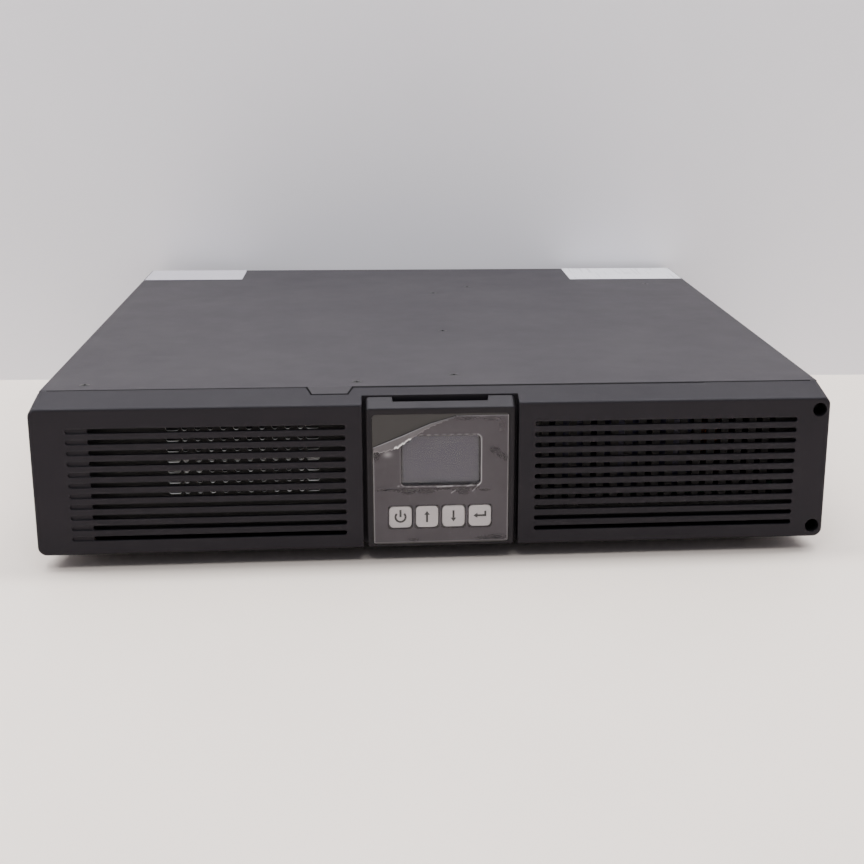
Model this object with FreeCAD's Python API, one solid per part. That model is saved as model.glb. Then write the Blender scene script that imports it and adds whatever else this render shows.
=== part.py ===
import FreeCAD, Part
import math
import os

# Rackmount UPS, two rack units high, lying in its rack position.
# Millimetres. +X is to the right seen from the front, +Y runs to the back, +Z is up.
# The origin is on the ground under the middle of the unit. Heights in the lists below are those
# of the case alone, and every piece is raised onto the feet as it is saved.

# ---- driving dimensions: case ----
chassis_width = 432.5      # steel case, side to side
bezel_overhang = 2.75      # how far the bezel stands out past the case at each side
body_depth = 410.0         # bezel face to outside of rear panel
cover_top = 88.5           # height of the lid's top face
foot_height = 10.2
foot_radius = 9.0
foot_edge = 0.6
tray_low = 2.0             # height of the tray's underside, before it is raised
foot_inset = 30.25         # foot's middle, from the side of the case
foot_front = 52.0          # front feet, behind the bezel face
foot_rear = 38.0           # rear feet, ahead of the rear panel
sheet = 1.2                # steel of tray, walls and panels
cover_sheet = 1.0          # steel of the lid
flange = 12.0              # width of folded edges
rear_proud = 5.0           # how far the tallest rear fitting stands out
film_proud = 1.0           # how far the peeled film stands out in front

left_label = (75.8, 44.7)  # paper labels on the lid, width and length
right_label = (91.8, 52.7)
label_thick = 0.15

# ---- driving dimensions: bezel ----
bezel_depth = 19.0
bezel_rear_overhang = 1.45
bezel_bottom = 0.3
bezel_step = 0.2           # bezel's rear edge below the lid
bezel_drop = 5.4           # how far the bezel's top slopes down to the front
bezel_wall = 2.5
bezel_front_corner = 5.0
bezel_rear_corner = 4.0
bezel_edge = 1.6
slot_count = 11
slot_height = 2.8
slot_low = 9.8             # height of the lowest slot's centre line
slot_high = 70.5           # height of the highest slot's centre line
slot_near = 52.0           # inner end of the slots, from the middle
slot_far = 200.0           # outer end of the slots
slot_blind = 11.3          # outer stretch of the left slots that is only a groove
groove_depth = 1.0
bezel_screw_inset = 3.55   # from the side of the case
bezel_screw_low = 7.1
bezel_screw_drop = 12.5    # upper screw below the lid
bezel_screw_bore = 3.95
bezel_screw_sink = 13.0

# ---- driving dimensions: display module ----
module_x = 0.0             # middle of the display module
module_width = 81.6
module_bottom = 0.6
module_front_top = 80.6
module_rear_top = 84.8
module_edge = 1.2          # rounding of the module's front edges
module_depth = 9.0
module_wall = 1.8
module_corner = 2.0
recess_gap = 2.2           # between module and bezel, at each side
recess_depth = 9.5
recess_wall = 2.0
hub_radius = 24.0
hub_gap = 2.5
hub_end = 16.5             # how far the hub's end lies behind the bezel face
hub_z = 42.0
overlay_low = 2.1
overlay_high = 77.0
overlay_border = 3.2       # housing rim beside the overlay
overlay_corner = 2.5
overlay_front = 0.4        # overlay's face behind the bezel face
overlay_thick = 1.0
overlay_seat = 1.2         # housing wall behind the overlay
window_width = 44.6
window_low = 35.7
window_high = 65.3
window_corner = 1.5
finger_floor = 78.6        # floor of the finger notch in the module's top
finger_half = (25.0, 27.5) # half width of the notch at its floor and at the lid's height
finger_depth = 3.8
key_size = 12.3
key_corner = 2.5
key_gap = 0.3
key_pitch = 14.7
key_first = -22.5          # first key's centre, from the module's middle
key_z = 17.9
key_travel = 0.5
key_set = 0.1              # key's face behind the overlay's face
film_thick = 0.2
film_inset = 0.9           # film's edge inside the overlay's
film_fold = 5.0            # width of the strip folded over at the peeled edge
film_peel = ((-1.0, 18.8), (-0.17, 6.8), (0.22, 1.4))  # share of the half width, drop from the overlay's top

# ---- driving dimensions: inside ----
divider_x = 14.0           # left face of the wall beside the battery bay
divider_start = 36.0       # behind the bezel face
divider_end = 350.0
battery_size = (94.0, 151.0, 65.0)
battery_gap = 8.0
board_low = 12.0
board_thick = 1.6
fan_size = 80.0
fan_depth = 25.0
fan_x = 162.0
fan_wall = 1.5             # fan frame at its thinnest
fan_blade_gap = 1.5
guard_wire = 0.8
guard_eye = 2.0            # height of the guard's eyes on the panel
guard_ring_pitch = 7.25
guard_ring_count = 5
shaft_radius = 1.5
shaft_clearance = 0.05

bay_mouth = (-205.0, 4.5)  # sides of the battery bay's opening in the front wall
bay_mouth_drop = 10.0      # top of the opening below the lid
battery_cover_drop = 3.7   # top of the bay's cover below the lid
battery_cover_lift = 0.4   # bay's cover above the tray
battery_cover_screw_drop = 6.9
battery_cover_screw_x = (-190.0, -100.0, -12.0)
perforation_pitch = 7.0    # between columns; the rows keep the bezel slots' pitch
perforation_radius = 1.7
perforation_corner = 1.65  # corner of the long holes
perforation_rows = 7
perforation_columns = 10
perforation_left = -140.0
perforation_drop = 3.9     # rows of holes below the slots' centre lines
perforation_long = 7.5     # length of the long hole at each end of a row
perforation_end_gap = 6.6  # from the last round hole to the long hole's middle
intake_count = 18
intake_first = 56.0
intake_pitch = 8.0
hook_inset = 5.25          # bezel hooks, from the side of the case
hook_half = 3.0
hook_heights = (16.5, 76.0)
tray_left = -204.0
tray_right = 3.5
tray_front = 34.0
tray_rear = 346.0

# ---- driving dimensions: rear fittings ----
inlet_x = 100.0
inlet_z = 64.0
breaker_x = 100.0
breaker_z = 26.0
bank_x = 20.0
bank_upper_z = 65.0
bank_lower_z = 25.0
outlet_pitch = 36.0
inlet_half = 9.9           # half height of the inlet's body
inlet_width = 27.0
inlet_body_depth = 24.0
inlet_mouth_depth = 16.0
inlet_rim = 2.8            # turned-in rim round the inlet's cut-out
inlet_pin_places = ((-7.0, -2.0), (7.0, -2.0), (0.0, 2.0))
outlet_pin_places = ((-7.0, 2.0), (7.0, 2.0), (0.0, -2.0))
bank_half = 13.5           # half height of an outlet bank's body
bank_depth = 22.0
breaker_neck = 6.0         # radius of the breaker's threaded neck
breaker_well = 3.8
breaker_button_radius = 3.5
port_x = -62.0
serial_z = 66.0
usb_z = 44.0
epo_z = 22.0
slot_x = -150.0
slot_z = 61.0
slot_screw_offset = 46.0
slot_mouth = (82.0, 15.0)  # width and half height of the card slot's cut-out
slot_plate = 1.2
connector_x = -150.0
connector_z = 22.0
connector_half = 10.0
connector_width = 50.0
pole_offset = 12.0
pole_mouth = (18.0, 4.5)   # width and half height of a pole's mouth
pole_blade = (6.0, 1.2)    # half width and half thickness of a pole's blade

# ---- driving dimensions: mounting holes for rack ears ----
ear_hole_radius = 2.0
ear_hole_first = 30.0      # first column, behind the bezel face
ear_hole_pitch_y = 30.0
ear_hole_pitch_z = 40.0
ear_hole_low = 24.5

# ---- route of the display's flat lead: x, and distance behind the bezel face ----
ribbon_points = (
    (module_x, 9.2),
    (module_x, 27.0),
    (24.0, 27.0),
    (24.0, 58.0),
    (35.0, 58.0),
    (35.0, 37.0),
    (46.0, 37.0),
    (46.0, 64.0),
)

# ---- worked out ----
slot_pitch = (slot_high - slot_low) / (slot_count - 1)
bezel_width = chassis_width + 2 * bezel_overhang
bezel_rear_width = chassis_width + 2 * bezel_rear_overhang
bezel_rear_top = cover_top - bezel_step
bezel_front_top = bezel_rear_top - bezel_drop
bezel_screw_x = chassis_width / 2 - bezel_screw_inset
bezel_screw_z = (bezel_screw_low, cover_top - bezel_screw_drop)
overlay_width = module_width - 2 * overlay_border
fan_bore = fan_size / 2 - fan_wall
battery_cover_top = cover_top - battery_cover_drop
battery_cover_screw_places = [(x, cover_top - battery_cover_screw_drop) for x in battery_cover_screw_x]
bay_mouth_top = cover_top - bay_mouth_drop
hook_x = chassis_width / 2 - hook_inset
face_y = -(film_proud + body_depth + rear_proud) / 2 + film_proud
seam_y = face_y + bezel_depth
rear_y = face_y + body_depth
half_case = chassis_width / 2
cover_under = cover_top - cover_sheet
inner_half = half_case - cover_sheet
tray_top = tray_low + sheet
raised = foot_height - tray_low
rear_inside = rear_y - sheet

UP = FreeCAD.Vector(0, 0, 1)
BACK = FreeCAD.Vector(0, 1, 0)
FRONT = FreeCAD.Vector(0, -1, 0)
RIGHT = FreeCAD.Vector(1, 0, 0)
LEFT = FreeCAD.Vector(-1, 0, 0)


# ---- helpers ----
def vec(x, y, z):
    return FreeCAD.Vector(x, y, z)


def behind(distance):
    """Y of a plane this far behind the bezel face."""
    return face_y + distance


def block(x0, x1, y0, y1, z0, z1):
    return Part.makeBox(x1 - x0, y1 - y0, z1 - z0, vec(x0, y0, z0))


def rod(x, y, z, radius, length, axis):
    return Part.makeCylinder(radius, length, vec(x, y, z), axis)


def join(shapes):
    return shapes[0].multiFuse(shapes[1:]).removeSplitter()


def rounded_outline(x_mid, y, width, z0, z1, radius):
    """Rectangle with rounded corners, upright in the plane at y."""
    left = x_mid - width / 2
    right = x_mid + width / 2
    bow = radius * (1 - math.sqrt(0.5))
    stops = [
        ((left + radius, z0), (right - radius, z0), (right - bow, z0 + bow)),
        ((right, z0 + radius), (right, z1 - radius), (right - bow, z1 - bow)),
        ((right - radius, z1), (left + radius, z1), (left + bow, z1 - bow)),
        ((left, z1 - radius), (left, z0 + radius), (left + bow, z0 + bow)),
    ]
    edges = []
    for number, (start, end, middle) in enumerate(stops):
        start, end, middle = [vec(p[0], y, p[1]) for p in (start, end, middle)]
        following = stops[(number + 1) % 4][0]
        if start.distanceToPoint(end) > 1e-6:
            edges.append(Part.LineSegment(start, end).toShape())
        edges.append(Part.Arc(end, middle, vec(following[0], y, following[1])).toShape())
    return Part.Wire(edges)


def slab(x_mid, y0, y1, width, z0, z1, radius):
    """Rounded plate facing forward, from y0 back to y1."""
    outline = rounded_outline(x_mid, y0, width, z0, z1, radius)
    return Part.Face(outline).extrude(vec(0, y1 - y0, 0))


def prism(points, direction):
    """Solid from a closed polygon moved along a vector."""
    outline = Part.makePolygon(points + points[:1])
    return Part.Face(outline).extrude(direction)


def aim(shape, position, direction):
    """Turn a shape made along +Z to a direction and put it in place."""
    placed = shape.copy()
    placed.Placement = FreeCAD.Placement(position, FreeCAD.Rotation(UP, direction))
    return placed


def bent_path(points, share=0.45):
    """Straight runs joined by tangent arcs."""
    corners = [vec(*p) for p in points]
    edges = []
    start = corners[0]
    for before, corner, after in zip(corners, corners[1:], corners[2:]):
        incoming = (corner - before).normalize()
        outgoing = (after - corner).normalize()
        turn = incoming.getAngle(outgoing)
        shorter = min((corner - before).Length, (after - corner).Length)
        setback = share * shorter
        radius = setback / math.tan(turn / 2)
        entry = corner - incoming * setback
        leave = corner + outgoing * setback
        inward = (outgoing - incoming).normalize()
        centre = corner + inward * (radius / math.cos(turn / 2))
        middle = centre - inward * radius
        edges.append(Part.LineSegment(start, entry).toShape())
        edges.append(Part.Arc(entry, middle, leave).toShape())
        start = leave
    edges.append(Part.LineSegment(start, corners[-1]).toShape())
    return Part.Wire(edges)


def tube(points, radius):
    """Round lead along straight runs and tangent arcs."""
    path = bent_path(points)
    first = vec(*points[1]) - vec(*points[0])
    ring = Part.Wire(Part.makeCircle(radius, vec(*points[0]), first))
    return path.makePipeShell([ring], True, False)


def flat_screw(head_radius, head_height, shank_radius, length):
    """Countersunk cross-head screw along -Z, head flush with z = 0."""
    head = Part.makeCone(shank_radius, head_radius, head_height, vec(0, 0, -head_height))
    shank = Part.makeCylinder(shank_radius, length, vec(0, 0, -length))
    return join([head, shank]).cut(cross_recess(head_radius * 1.1, 0.9))


def pan_screw(head_radius, head_height, shank_radius, length):
    """Pan-head cross-head screw along -Z, the head seated on z = 0."""
    head = Part.makeCylinder(head_radius, head_height)
    head = head.makeFillet(head_height * 0.4, [head.Edges[0]])
    shank = Part.makeCylinder(shank_radius, length, vec(0, 0, -length))
    recess = cross_recess(head_radius * 1.1, head_height * 0.6)
    recess.translate(vec(0, 0, head_height))
    return join([head, shank]).cut(recess)


def cross_recess(span, depth):
    arm = span * 0.2
    one = block(-span / 2, span / 2, -arm / 2, arm / 2, -depth, depth)
    two = block(-arm / 2, arm / 2, -span / 2, span / 2, -depth, depth)
    return join([one, two])


def sink(head_radius, head_height, shank_radius, length):
    """Hole that a flat screw sits in."""
    cone = Part.makeCone(shank_radius, head_radius, head_height, vec(0, 0, -head_height))
    above = Part.makeCylinder(head_radius, 1.0)
    hole = Part.makeCylinder(shank_radius, length, vec(0, 0, -length))
    return join([cone, above, hole])


def save(name, shape):
    os.makedirs("parts", exist_ok=True)
    if isinstance(shape, list):
        shape = Part.makeCompound(shape)
    placed = shape.copy()
    placed.translate(UP * raised)
    placed.exportStep("parts/" + name + ".step")


# ---- places of the screws ----
lid_screw = (2.8, 1.4, 1.4, 6.0)
lid_sink = (2.85, 1.4, 1.5, 7.0)
cover_screw_places = [
    (9.7, 42.8),
    (9.7, 163.4),
    (9.7, 301.0),
    (-45.6, 29.0),
    (-194.3, 29.9),
    (37.5, 326.4),
    (180.6, 333.9),
]
case_screw_low = tray_top + flange * 0.55
case_screw_places = [
    (60.0, case_screw_low),
    (body_depth / 2, case_screw_low),
    (body_depth - 40.0, case_screw_low),
    (body_depth - 7.0, 66.0),
]


def cover_sinks():
    shape = sink(*lid_sink)
    return [aim(shape, vec(x, behind(d), cover_top), UP) for x, d in cover_screw_places]


def case_sinks():
    shape = sink(*lid_sink)
    return [
        aim(shape, vec(side * half_case, behind(d), z), RIGHT * side)
        for side in (-1, 1)
        for d, z in case_screw_places
    ]


def ear_holes():
    holes = []
    for side in (-1, 1):
        for column in (0, 1):
            for row in (0, 1):
                y = behind(ear_hole_first + column * ear_hole_pitch_y)
                z = ear_hole_low + row * ear_hole_pitch_z
                start = side * (half_case - cover_sheet - 1.0)
                holes.append(rod(start, y, z, ear_hole_radius, cover_sheet + 2.0, RIGHT * side))
    return holes


# ---- chassis ----
def tab_prism(grow):
    """Upright column over the lid's small front tab, grown by a gap all round."""
    near, far, length = 12.25 + grow, 9.45 + grow, 7.5 + grow
    middle = -60.3
    points = [
        vec(middle - near, seam_y, 0),
        vec(middle + near, seam_y, 0),
        vec(middle + far, seam_y - length, 0),
        vec(middle - far, seam_y - length, 0),
    ]
    return prism(points, vec(0, 0, cover_top + 10))


def bezel_slope():
    return (bezel_rear_top - bezel_front_top) / bezel_depth


def tab_plate():
    """The lid's front tab, bent down to lie in the bezel's sloping top."""
    run = 12.0
    drop = run * bezel_slope()
    points = [
        vec(-80, seam_y, cover_top),
        vec(-80, seam_y, cover_under),
        vec(-80, seam_y - run, cover_under - drop),
        vec(-80, seam_y - run, cover_top - drop),
    ]
    strip = prism(points, vec(40, 0, 0))
    return strip.common(tab_prism(0.0))


def make_top_cover():
    top = block(-half_case, half_case, seam_y, rear_y, cover_under, cover_top)
    walls = [
        block(side_x, side_x + cover_sheet, seam_y, rear_y, tray_low, cover_under)
        for side_x in (-half_case, half_case - cover_sheet)
    ]
    shell = join([top] + walls)
    long_edges = [
        e
        for e in shell.Edges
        if all(abs(abs(v.X) - half_case) < 1e-6 and abs(v.Z - cover_top) < 1e-6 for v in e.Vertexes)
    ]
    shell = shell.makeFillet(cover_sheet * 0.8, long_edges)
    shell = join([shell, tab_plate()])
    save("top_cover", shell.cut(cover_sinks() + case_sinks() + ear_holes()))


def make_base_tray():
    bottom = block(-inner_half, inner_half, seam_y, rear_y, tray_low, tray_top)
    sides = [
        block(x, x + sheet, seam_y + flange, rear_y, tray_top, tray_top + flange)
        for x in (-inner_half, inner_half - sheet)
    ]
    save("base_tray", join([bottom] + sides).cut(case_sinks()))


def battery_opening():
    return block(bay_mouth[0], bay_mouth[1], seam_y - 1, seam_y + sheet + 1, tray_top + 1.6, bay_mouth_top)


def ribbon_pass(y0, y1):
    """Hole in front of the bay for the display's flat lead."""
    return slab(module_x, y0, y1, 16.0, hub_z - 10, hub_z + 10, 2.0)


def make_front_wall():
    back = seam_y + sheet
    plate = block(-inner_half, inner_half, seam_y, back, tray_top, cover_under)
    top = block(-inner_half, inner_half, back, seam_y + 16, cover_under - sheet, cover_under)
    foot = block(8, inner_half - sheet, back, seam_y + flange, tray_top, tray_top + sheet)
    wall = join([plate, top, foot])
    openings = [battery_opening(), ribbon_pass(seam_y - 1, back + 1)]
    for column in range(intake_count):
        x = intake_first + column * intake_pitch
        openings.append(slab(x, seam_y - 1, back + 1, 3.6, 16.0, 74.0, 1.7))
    for z in bezel_screw_z:
        openings.append(rod(bezel_screw_x, seam_y - 1, z, 1.5, 4.0, BACK))
    for z in hook_heights:
        left = -hook_x - hook_half - 0.3
        right = -hook_x + hook_half + 0.3
        openings.append(block(left, right, seam_y - 1, seam_y + 3, z - 1.3, z + 1.3))
    for x, z in battery_cover_screw_places:
        openings.append(rod(x, seam_y - 1, z, 1.5, 4.0, BACK))
    save("front_wall", wall.cut(openings + cover_sinks()))


def make_battery_cover():
    """Plate over the battery bay's mouth, perforated where air goes in."""
    front = seam_y - sheet
    left = bay_mouth[0] - 1.5
    right = bay_mouth[1] + 2.5
    low = tray_top + battery_cover_lift
    plate = slab((left + right) / 2, front, seam_y, right - left, low, battery_cover_top, 2.0)
    side_gap = block(module_x, right + 1, front - 1, seam_y + 1, hub_z - 10, hub_z + 10)
    holes = [ribbon_pass(front - 1, seam_y + 1), side_gap]
    holes += [rod(x, front - 1, z, 1.6, 4.0, BACK) for x, z in battery_cover_screw_places]
    perforation_right = perforation_left + (perforation_columns - 1) * perforation_pitch
    for row in range(perforation_rows):
        z = slot_high - row * slot_pitch - perforation_drop
        for column in range(perforation_columns):
            x = perforation_left + column * perforation_pitch
            holes.append(rod(x, front - 1, z, perforation_radius, 4.0, BACK))
        hole_low, hole_high = z - perforation_radius, z + perforation_radius
        for x in (perforation_left - perforation_end_gap, perforation_right + perforation_end_gap):
            long_hole = slab(x, front - 1, seam_y + 1, perforation_long, hole_low, hole_high, perforation_corner)
            holes.append(long_hole)
    save("battery_cover", plate.cut(holes))


def make_battery_cover_screws():
    shape = pan_screw(2.8, 2.0, 1.4, 5.0)
    save(
        "battery_cover_screws",
        [aim(shape, vec(x, seam_y - sheet, z), FRONT) for x, z in battery_cover_screw_places],
    )


def make_battery_divider():
    start = behind(divider_start)
    end = behind(divider_end)
    wall = block(divider_x, divider_x + sheet, start, end, tray_top, cover_under)
    top = block(divider_x - 10, divider_x, start, end, cover_under - sheet, cover_under)
    foot = block(divider_x + sheet, divider_x + flange, start, end, tray_top, tray_top + sheet)
    save("battery_divider", join([wall, top, foot]).cut(cover_sinks()))


def make_cross_brace():
    """Angle under the lid from the divider to the right side."""
    start = behind(320)
    end = behind(341)
    left = divider_x + sheet
    top = block(left, inner_half, start, end, cover_under - sheet, cover_under)
    web = block(left, inner_half, end - sheet, end, cover_under - 12, cover_under - sheet)
    ear = block(inner_half - sheet, inner_half, start, end - sheet, cover_under - 12, cover_under - sheet)
    save("cross_brace", join([top, web, ear]).cut(cover_sinks()))


def make_rear_panel():
    plate = block(-inner_half, inner_half, rear_inside, rear_y, tray_top + flange, cover_under)
    low = block(-inner_half + sheet, inner_half - sheet, rear_inside, rear_y, tray_top, tray_top + flange)
    bottom = block(-inner_half + sheet, inner_half - sheet, rear_inside - flange, rear_inside, tray_top, tray_top + sheet)
    top = block(-inner_half, inner_half, rear_inside - flange, rear_inside, cover_under - sheet, cover_under)
    sides = [
        block(x, x + sheet, rear_inside - flange, rear_inside, tray_top + flange, cover_under - sheet)
        for x in (-inner_half, inner_half - sheet)
    ]
    rim = slab(
        inlet_x,
        rear_inside - inlet_rim,
        rear_inside,
        inlet_width + 2 * sheet,
        inlet_z - inlet_half - sheet,
        inlet_z + inlet_half + sheet,
        1.0 + sheet,
    )
    panel = join([plate, low, bottom, top, rim] + sides)
    fan_z = fan_centre_z()
    front, back = rear_inside - 1, rear_y + 1
    openings = [rod(fan_x, front, fan_z, fan_bore, 4.0, BACK)]
    for x, z in fan_corners():
        openings.append(rod(x, front, z, 1.9, 4.0, BACK))
    inlet_low, inlet_high = inlet_z - inlet_half, inlet_z + inlet_half
    openings.append(slab(inlet_x, front - inlet_rim, back, inlet_width, inlet_low, inlet_high, 1.0))
    openings.append(rod(breaker_x, front, breaker_z, breaker_neck, 4.0, BACK))
    for z in (bank_upper_z, bank_lower_z):
        openings.append(slab(bank_x, front, back, bank_body_width, z - bank_half, z + bank_half, 1.0))
    openings.append(slab(port_x, front, back, 19.0, serial_z - 5.5, serial_z + 5.5, 1.0))
    openings.append(slab(port_x, front, back, 12.0, usb_z - 5.5, usb_z + 5.5, 0.5))
    openings.append(slab(port_x, front, back, 15.0, epo_z - 4.5, epo_z + 4.5, 0.5))
    openings.append(slab(slot_x, front, back, slot_mouth[0], slot_z - slot_mouth[1], slot_z + slot_mouth[1], 1.0))
    for side in (-1, 1):
        openings.append(rod(slot_x + side * slot_screw_offset, front, slot_z, 1.6, 4.0, BACK))
    connector_low, connector_high = connector_z - connector_half, connector_z + connector_half
    openings.append(slab(connector_x, front, back, connector_width, connector_low, connector_high, 1.5))
    openings.append(rod(ground_x, front, ground_z, 2.0, 4.0, BACK))
    save("rear_panel", panel.cut(openings + case_sinks()))


def make_case_screws():
    """The same flat screw on the lid and along both sides."""
    shape = flat_screw(*lid_screw)
    screws = [aim(shape, vec(x, behind(d), cover_top), UP) for x, d in cover_screw_places]
    for side in (-1, 1):
        for d, z in case_screw_places:
            screws.append(aim(shape, vec(side * half_case, behind(d), z), RIGHT * side))
    save("case_screws", screws)


def make_feet():
    pads = []
    for side in (-1, 1):
        for distance in (foot_front, body_depth - foot_rear):
            x = side * (half_case - foot_inset)
            pad = rod(x, behind(distance), -raised, foot_radius, foot_height, UP)
            pads.append(pad.makeFillet(foot_edge, [pad.Edges[2]]))
    save("feet", pads)


def make_labels():
    edge = half_case - 1.2
    rear = rear_y - 0.3
    top = cover_top + label_thick
    left = block(-edge, -edge + left_label[0], rear - left_label[1], rear, cover_top, top)
    right = block(edge - right_label[0], edge, rear - right_label[1], rear, cover_top, top)
    save("label_left", left)
    save("label_right", right)


# ---- bezel ----
def bezel_section(y, inset):
    """Outline of the bezel at a depth, drawn in by a wall thickness."""
    share = (y - face_y) / bezel_depth
    width = bezel_width + (bezel_rear_width - bezel_width) * share
    top = bezel_front_top + (bezel_rear_top - bezel_front_top) * share
    corner = bezel_front_corner + (bezel_rear_corner - bezel_front_corner) * share
    radius = max(corner - inset, 1.0)
    return rounded_outline(0, y, width - 2 * inset, bezel_bottom + inset, top - inset, radius)


def bezel_body(front, rear, inset):
    return Part.makeLoft([bezel_section(front, inset), bezel_section(rear, inset)], True, True)


def grille_cuts():
    cuts = []
    length = slot_far - slot_near
    middle = (slot_far + slot_near) / 2
    radius = slot_height / 2
    for row in range(slot_count):
        z = slot_low + row * slot_pitch
        low, high = z - radius, z + radius
        through = face_y + bezel_wall + 0.5
        cuts.append(slab(middle, face_y - 1, through, length, low, high, radius))
        cuts.append(slab(-middle, face_y - 1, face_y + groove_depth, length, low, high, radius))
        open_middle = -(slot_near + slot_far - slot_blind) / 2
        cuts.append(slab(open_middle, face_y - 1, through, length - slot_blind, low, high, radius))
    return cuts


def make_front_bezel():
    outer = bezel_body(face_y, seam_y, 0)
    front_edges = [e for e in outer.Edges if all(abs(v.Y - face_y) < 1e-6 for v in e.Vertexes)]
    outer = outer.makeFillet(bezel_edge, front_edges)

    left = module_x - module_width / 2 - recess_gap
    right = module_x + module_width / 2 + recess_gap
    hollow = bezel_body(face_y + bezel_wall, seam_y + 1, bezel_wall)
    core = block(left - recess_wall, right + recess_wall, face_y, seam_y, 0, cover_top)
    back_room = block(left, right, face_y + recess_depth + recess_wall, seam_y + 1, 0, cover_top)
    sides = hollow.cut(core)
    middle = hollow.common(back_room)
    recess = block(left, right, face_y - 1, face_y + recess_depth, -1, cover_top + 1)
    hub_hole = rod(module_x, face_y, hub_z, hub_radius + hub_gap, bezel_depth, BACK)
    side_relief = block(left - recess_wall - 1, right + recess_wall + 1, seam_y - 2, seam_y + 1, 2.8, cover_top - 2.9)
    shell = outer.cut([sides, middle, recess, hub_hole, side_relief])
    shell = shell.cut(grille_cuts())

    bosses = []
    bores = []
    for z in bezel_screw_z:
        bosses.append(rod(bezel_screw_x, face_y + 1, z, bezel_screw_bore + 1.6, bezel_depth - 1, BACK))
        bores.append(rod(bezel_screw_x, face_y - 1, z, bezel_screw_bore, bezel_screw_sink + 1, BACK))
        bores.append(rod(bezel_screw_x, face_y, z, 1.7, bezel_depth + 1, BACK))
    shell = join([shell, outer.common(join(bosses))])
    left, right = -hook_x - hook_half, -hook_x + hook_half
    for z in hook_heights:
        arm = block(left, right, face_y + 1, seam_y, z - 1, z + 1)
        tail = block(left, right, seam_y, seam_y + 5, z - 1, z + 1)
        shell = join([shell, outer.common(arm), tail])
    tab_room = tab_prism(0.4).common(block(-90, -30, seam_y - 12, seam_y + 1, cover_top - 9, cover_top + 9))
    save("front_bezel", shell.cut(bores + [tab_room]))


def make_bezel_screws():
    shape = pan_screw(3.0, 2.2, 1.45, 8.5)
    seat = face_y + bezel_screw_sink
    save("bezel_screws", [aim(shape, vec(bezel_screw_x, seat, z), FRONT) for z in bezel_screw_z])


# ---- display module ----
overlay_y = face_y + overlay_front
seat_y = overlay_y + overlay_thick
seat_back_y = seat_y + overlay_seat
board_y = face_y + 5.0


def key_centres():
    return [module_x + key_first + number * key_pitch for number in range(4)]


def key_openings(y0, y1, grow):
    half = key_size / 2 + grow
    return [
        slab(x, y0, y1, 2 * half, key_z - half, key_z + half, key_corner + grow)
        for x in key_centres()
    ]


def window_opening(y0, y1, grow):
    return slab(
        module_x, y0, y1, window_width + 2 * grow, window_low - grow, window_high + grow, window_corner
    )


def make_module_housing():
    front = rounded_outline(module_x, face_y, module_width, module_bottom, module_front_top, module_corner)
    rear_face = face_y + module_depth
    rear = rounded_outline(module_x, rear_face, module_width, module_bottom, module_rear_top, module_corner)
    outer = Part.makeLoft([front, rear], True, True)
    front_edges = [e for e in outer.Edges if all(abs(v.Y - face_y) < 1e-6 for v in e.Vertexes)]
    outer = outer.makeFillet(module_edge, front_edges)
    inner_width = module_width - 2 * module_wall
    room = slab(
        module_x,
        seat_back_y,
        rear_face + 1,
        inner_width,
        module_bottom + module_wall,
        finger_floor - module_wall,
        1.0,
    )
    overlay_room = slab(
        module_x, face_y - 1, seat_y, overlay_width + 0.2, overlay_low - 0.1, overlay_high + 0.1, overlay_corner
    )
    housing = outer.cut([room, overlay_room, window_opening(seat_y - 1, seat_back_y + 1, -1.0)])
    housing = housing.cut(key_openings(seat_y - 1, seat_back_y + 1, key_gap))
    low_half, high_half = finger_half
    start = rear_face - finger_depth
    notch = prism(
        [
            vec(module_x - high_half, start, cover_top),
            vec(module_x + high_half, start, cover_top),
            vec(module_x + low_half, start, finger_floor),
            vec(module_x - low_half, start, finger_floor),
        ],
        vec(0, 10, 0),
    )
    save("module_housing", housing.cut(notch))


def make_module_back_cover():
    rear_face = face_y + module_depth
    width = module_width - 2 * module_wall
    plate = slab(
        module_x, rear_face - 1.6, rear_face, width, module_bottom + module_wall, finger_floor - module_wall, 1.0
    )
    length = hub_end - module_depth
    hub = rod(module_x, rear_face, hub_z, hub_radius, length, BACK)
    bore = rod(module_x, rear_face - 2, hub_z, hub_radius - 1.8, length + 0.2, BACK)
    hub = join([plate, hub]).cut(bore)
    slot = slab(module_x, rear_face, face_y + hub_end + 1, 3.4, hub_z - 7, hub_z + 7, 1.0)
    save("module_back_cover", hub.cut(slot))


def make_display_board():
    width = module_width - 2 * module_wall - 2
    plate = slab(module_x, board_y, board_y + board_thick, width, 4.0, finger_floor - module_wall - 1, 1.0)
    header = block(module_x - 3.5, module_x + 3.5, board_y + board_thick, face_y + 9.0, hub_z - 8, hub_z + 8)
    save("display_board", join([plate, header]))


def make_lcd_panel():
    save("lcd_panel", window_opening(seat_back_y + 0.1, board_y, 0.8))


def make_face_plate():
    plate = slab(module_x, overlay_y, seat_y, overlay_width, overlay_low, overlay_high, overlay_corner)
    plate = plate.cut([window_opening(overlay_y - 1, seat_y + 1, 0)])
    save("face_plate", plate.cut(key_openings(overlay_y - 1, seat_y + 1, key_gap)))


def make_display_window():
    save("display_window", window_opening(overlay_y, seat_y, 0))


def make_keys():
    names = ["key_power", "key_up", "key_down", "key_enter"]
    half = key_size / 2
    front = overlay_y + key_set
    for name, x in zip(names, key_centres()):
        cap = slab(x, front, seat_back_y + 0.1, key_size, key_z - half, key_z + half, key_corner)
        wide = half + 0.8
        skirt = slab(x, seat_back_y + 0.1, seat_back_y + 0.8, 2 * wide, key_z - wide, key_z + wide, key_corner)
        stem = rod(x, seat_back_y + 0.8, key_z, 1.5, 0.2, BACK)
        save(name, join([cap, skirt, stem]))


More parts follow.
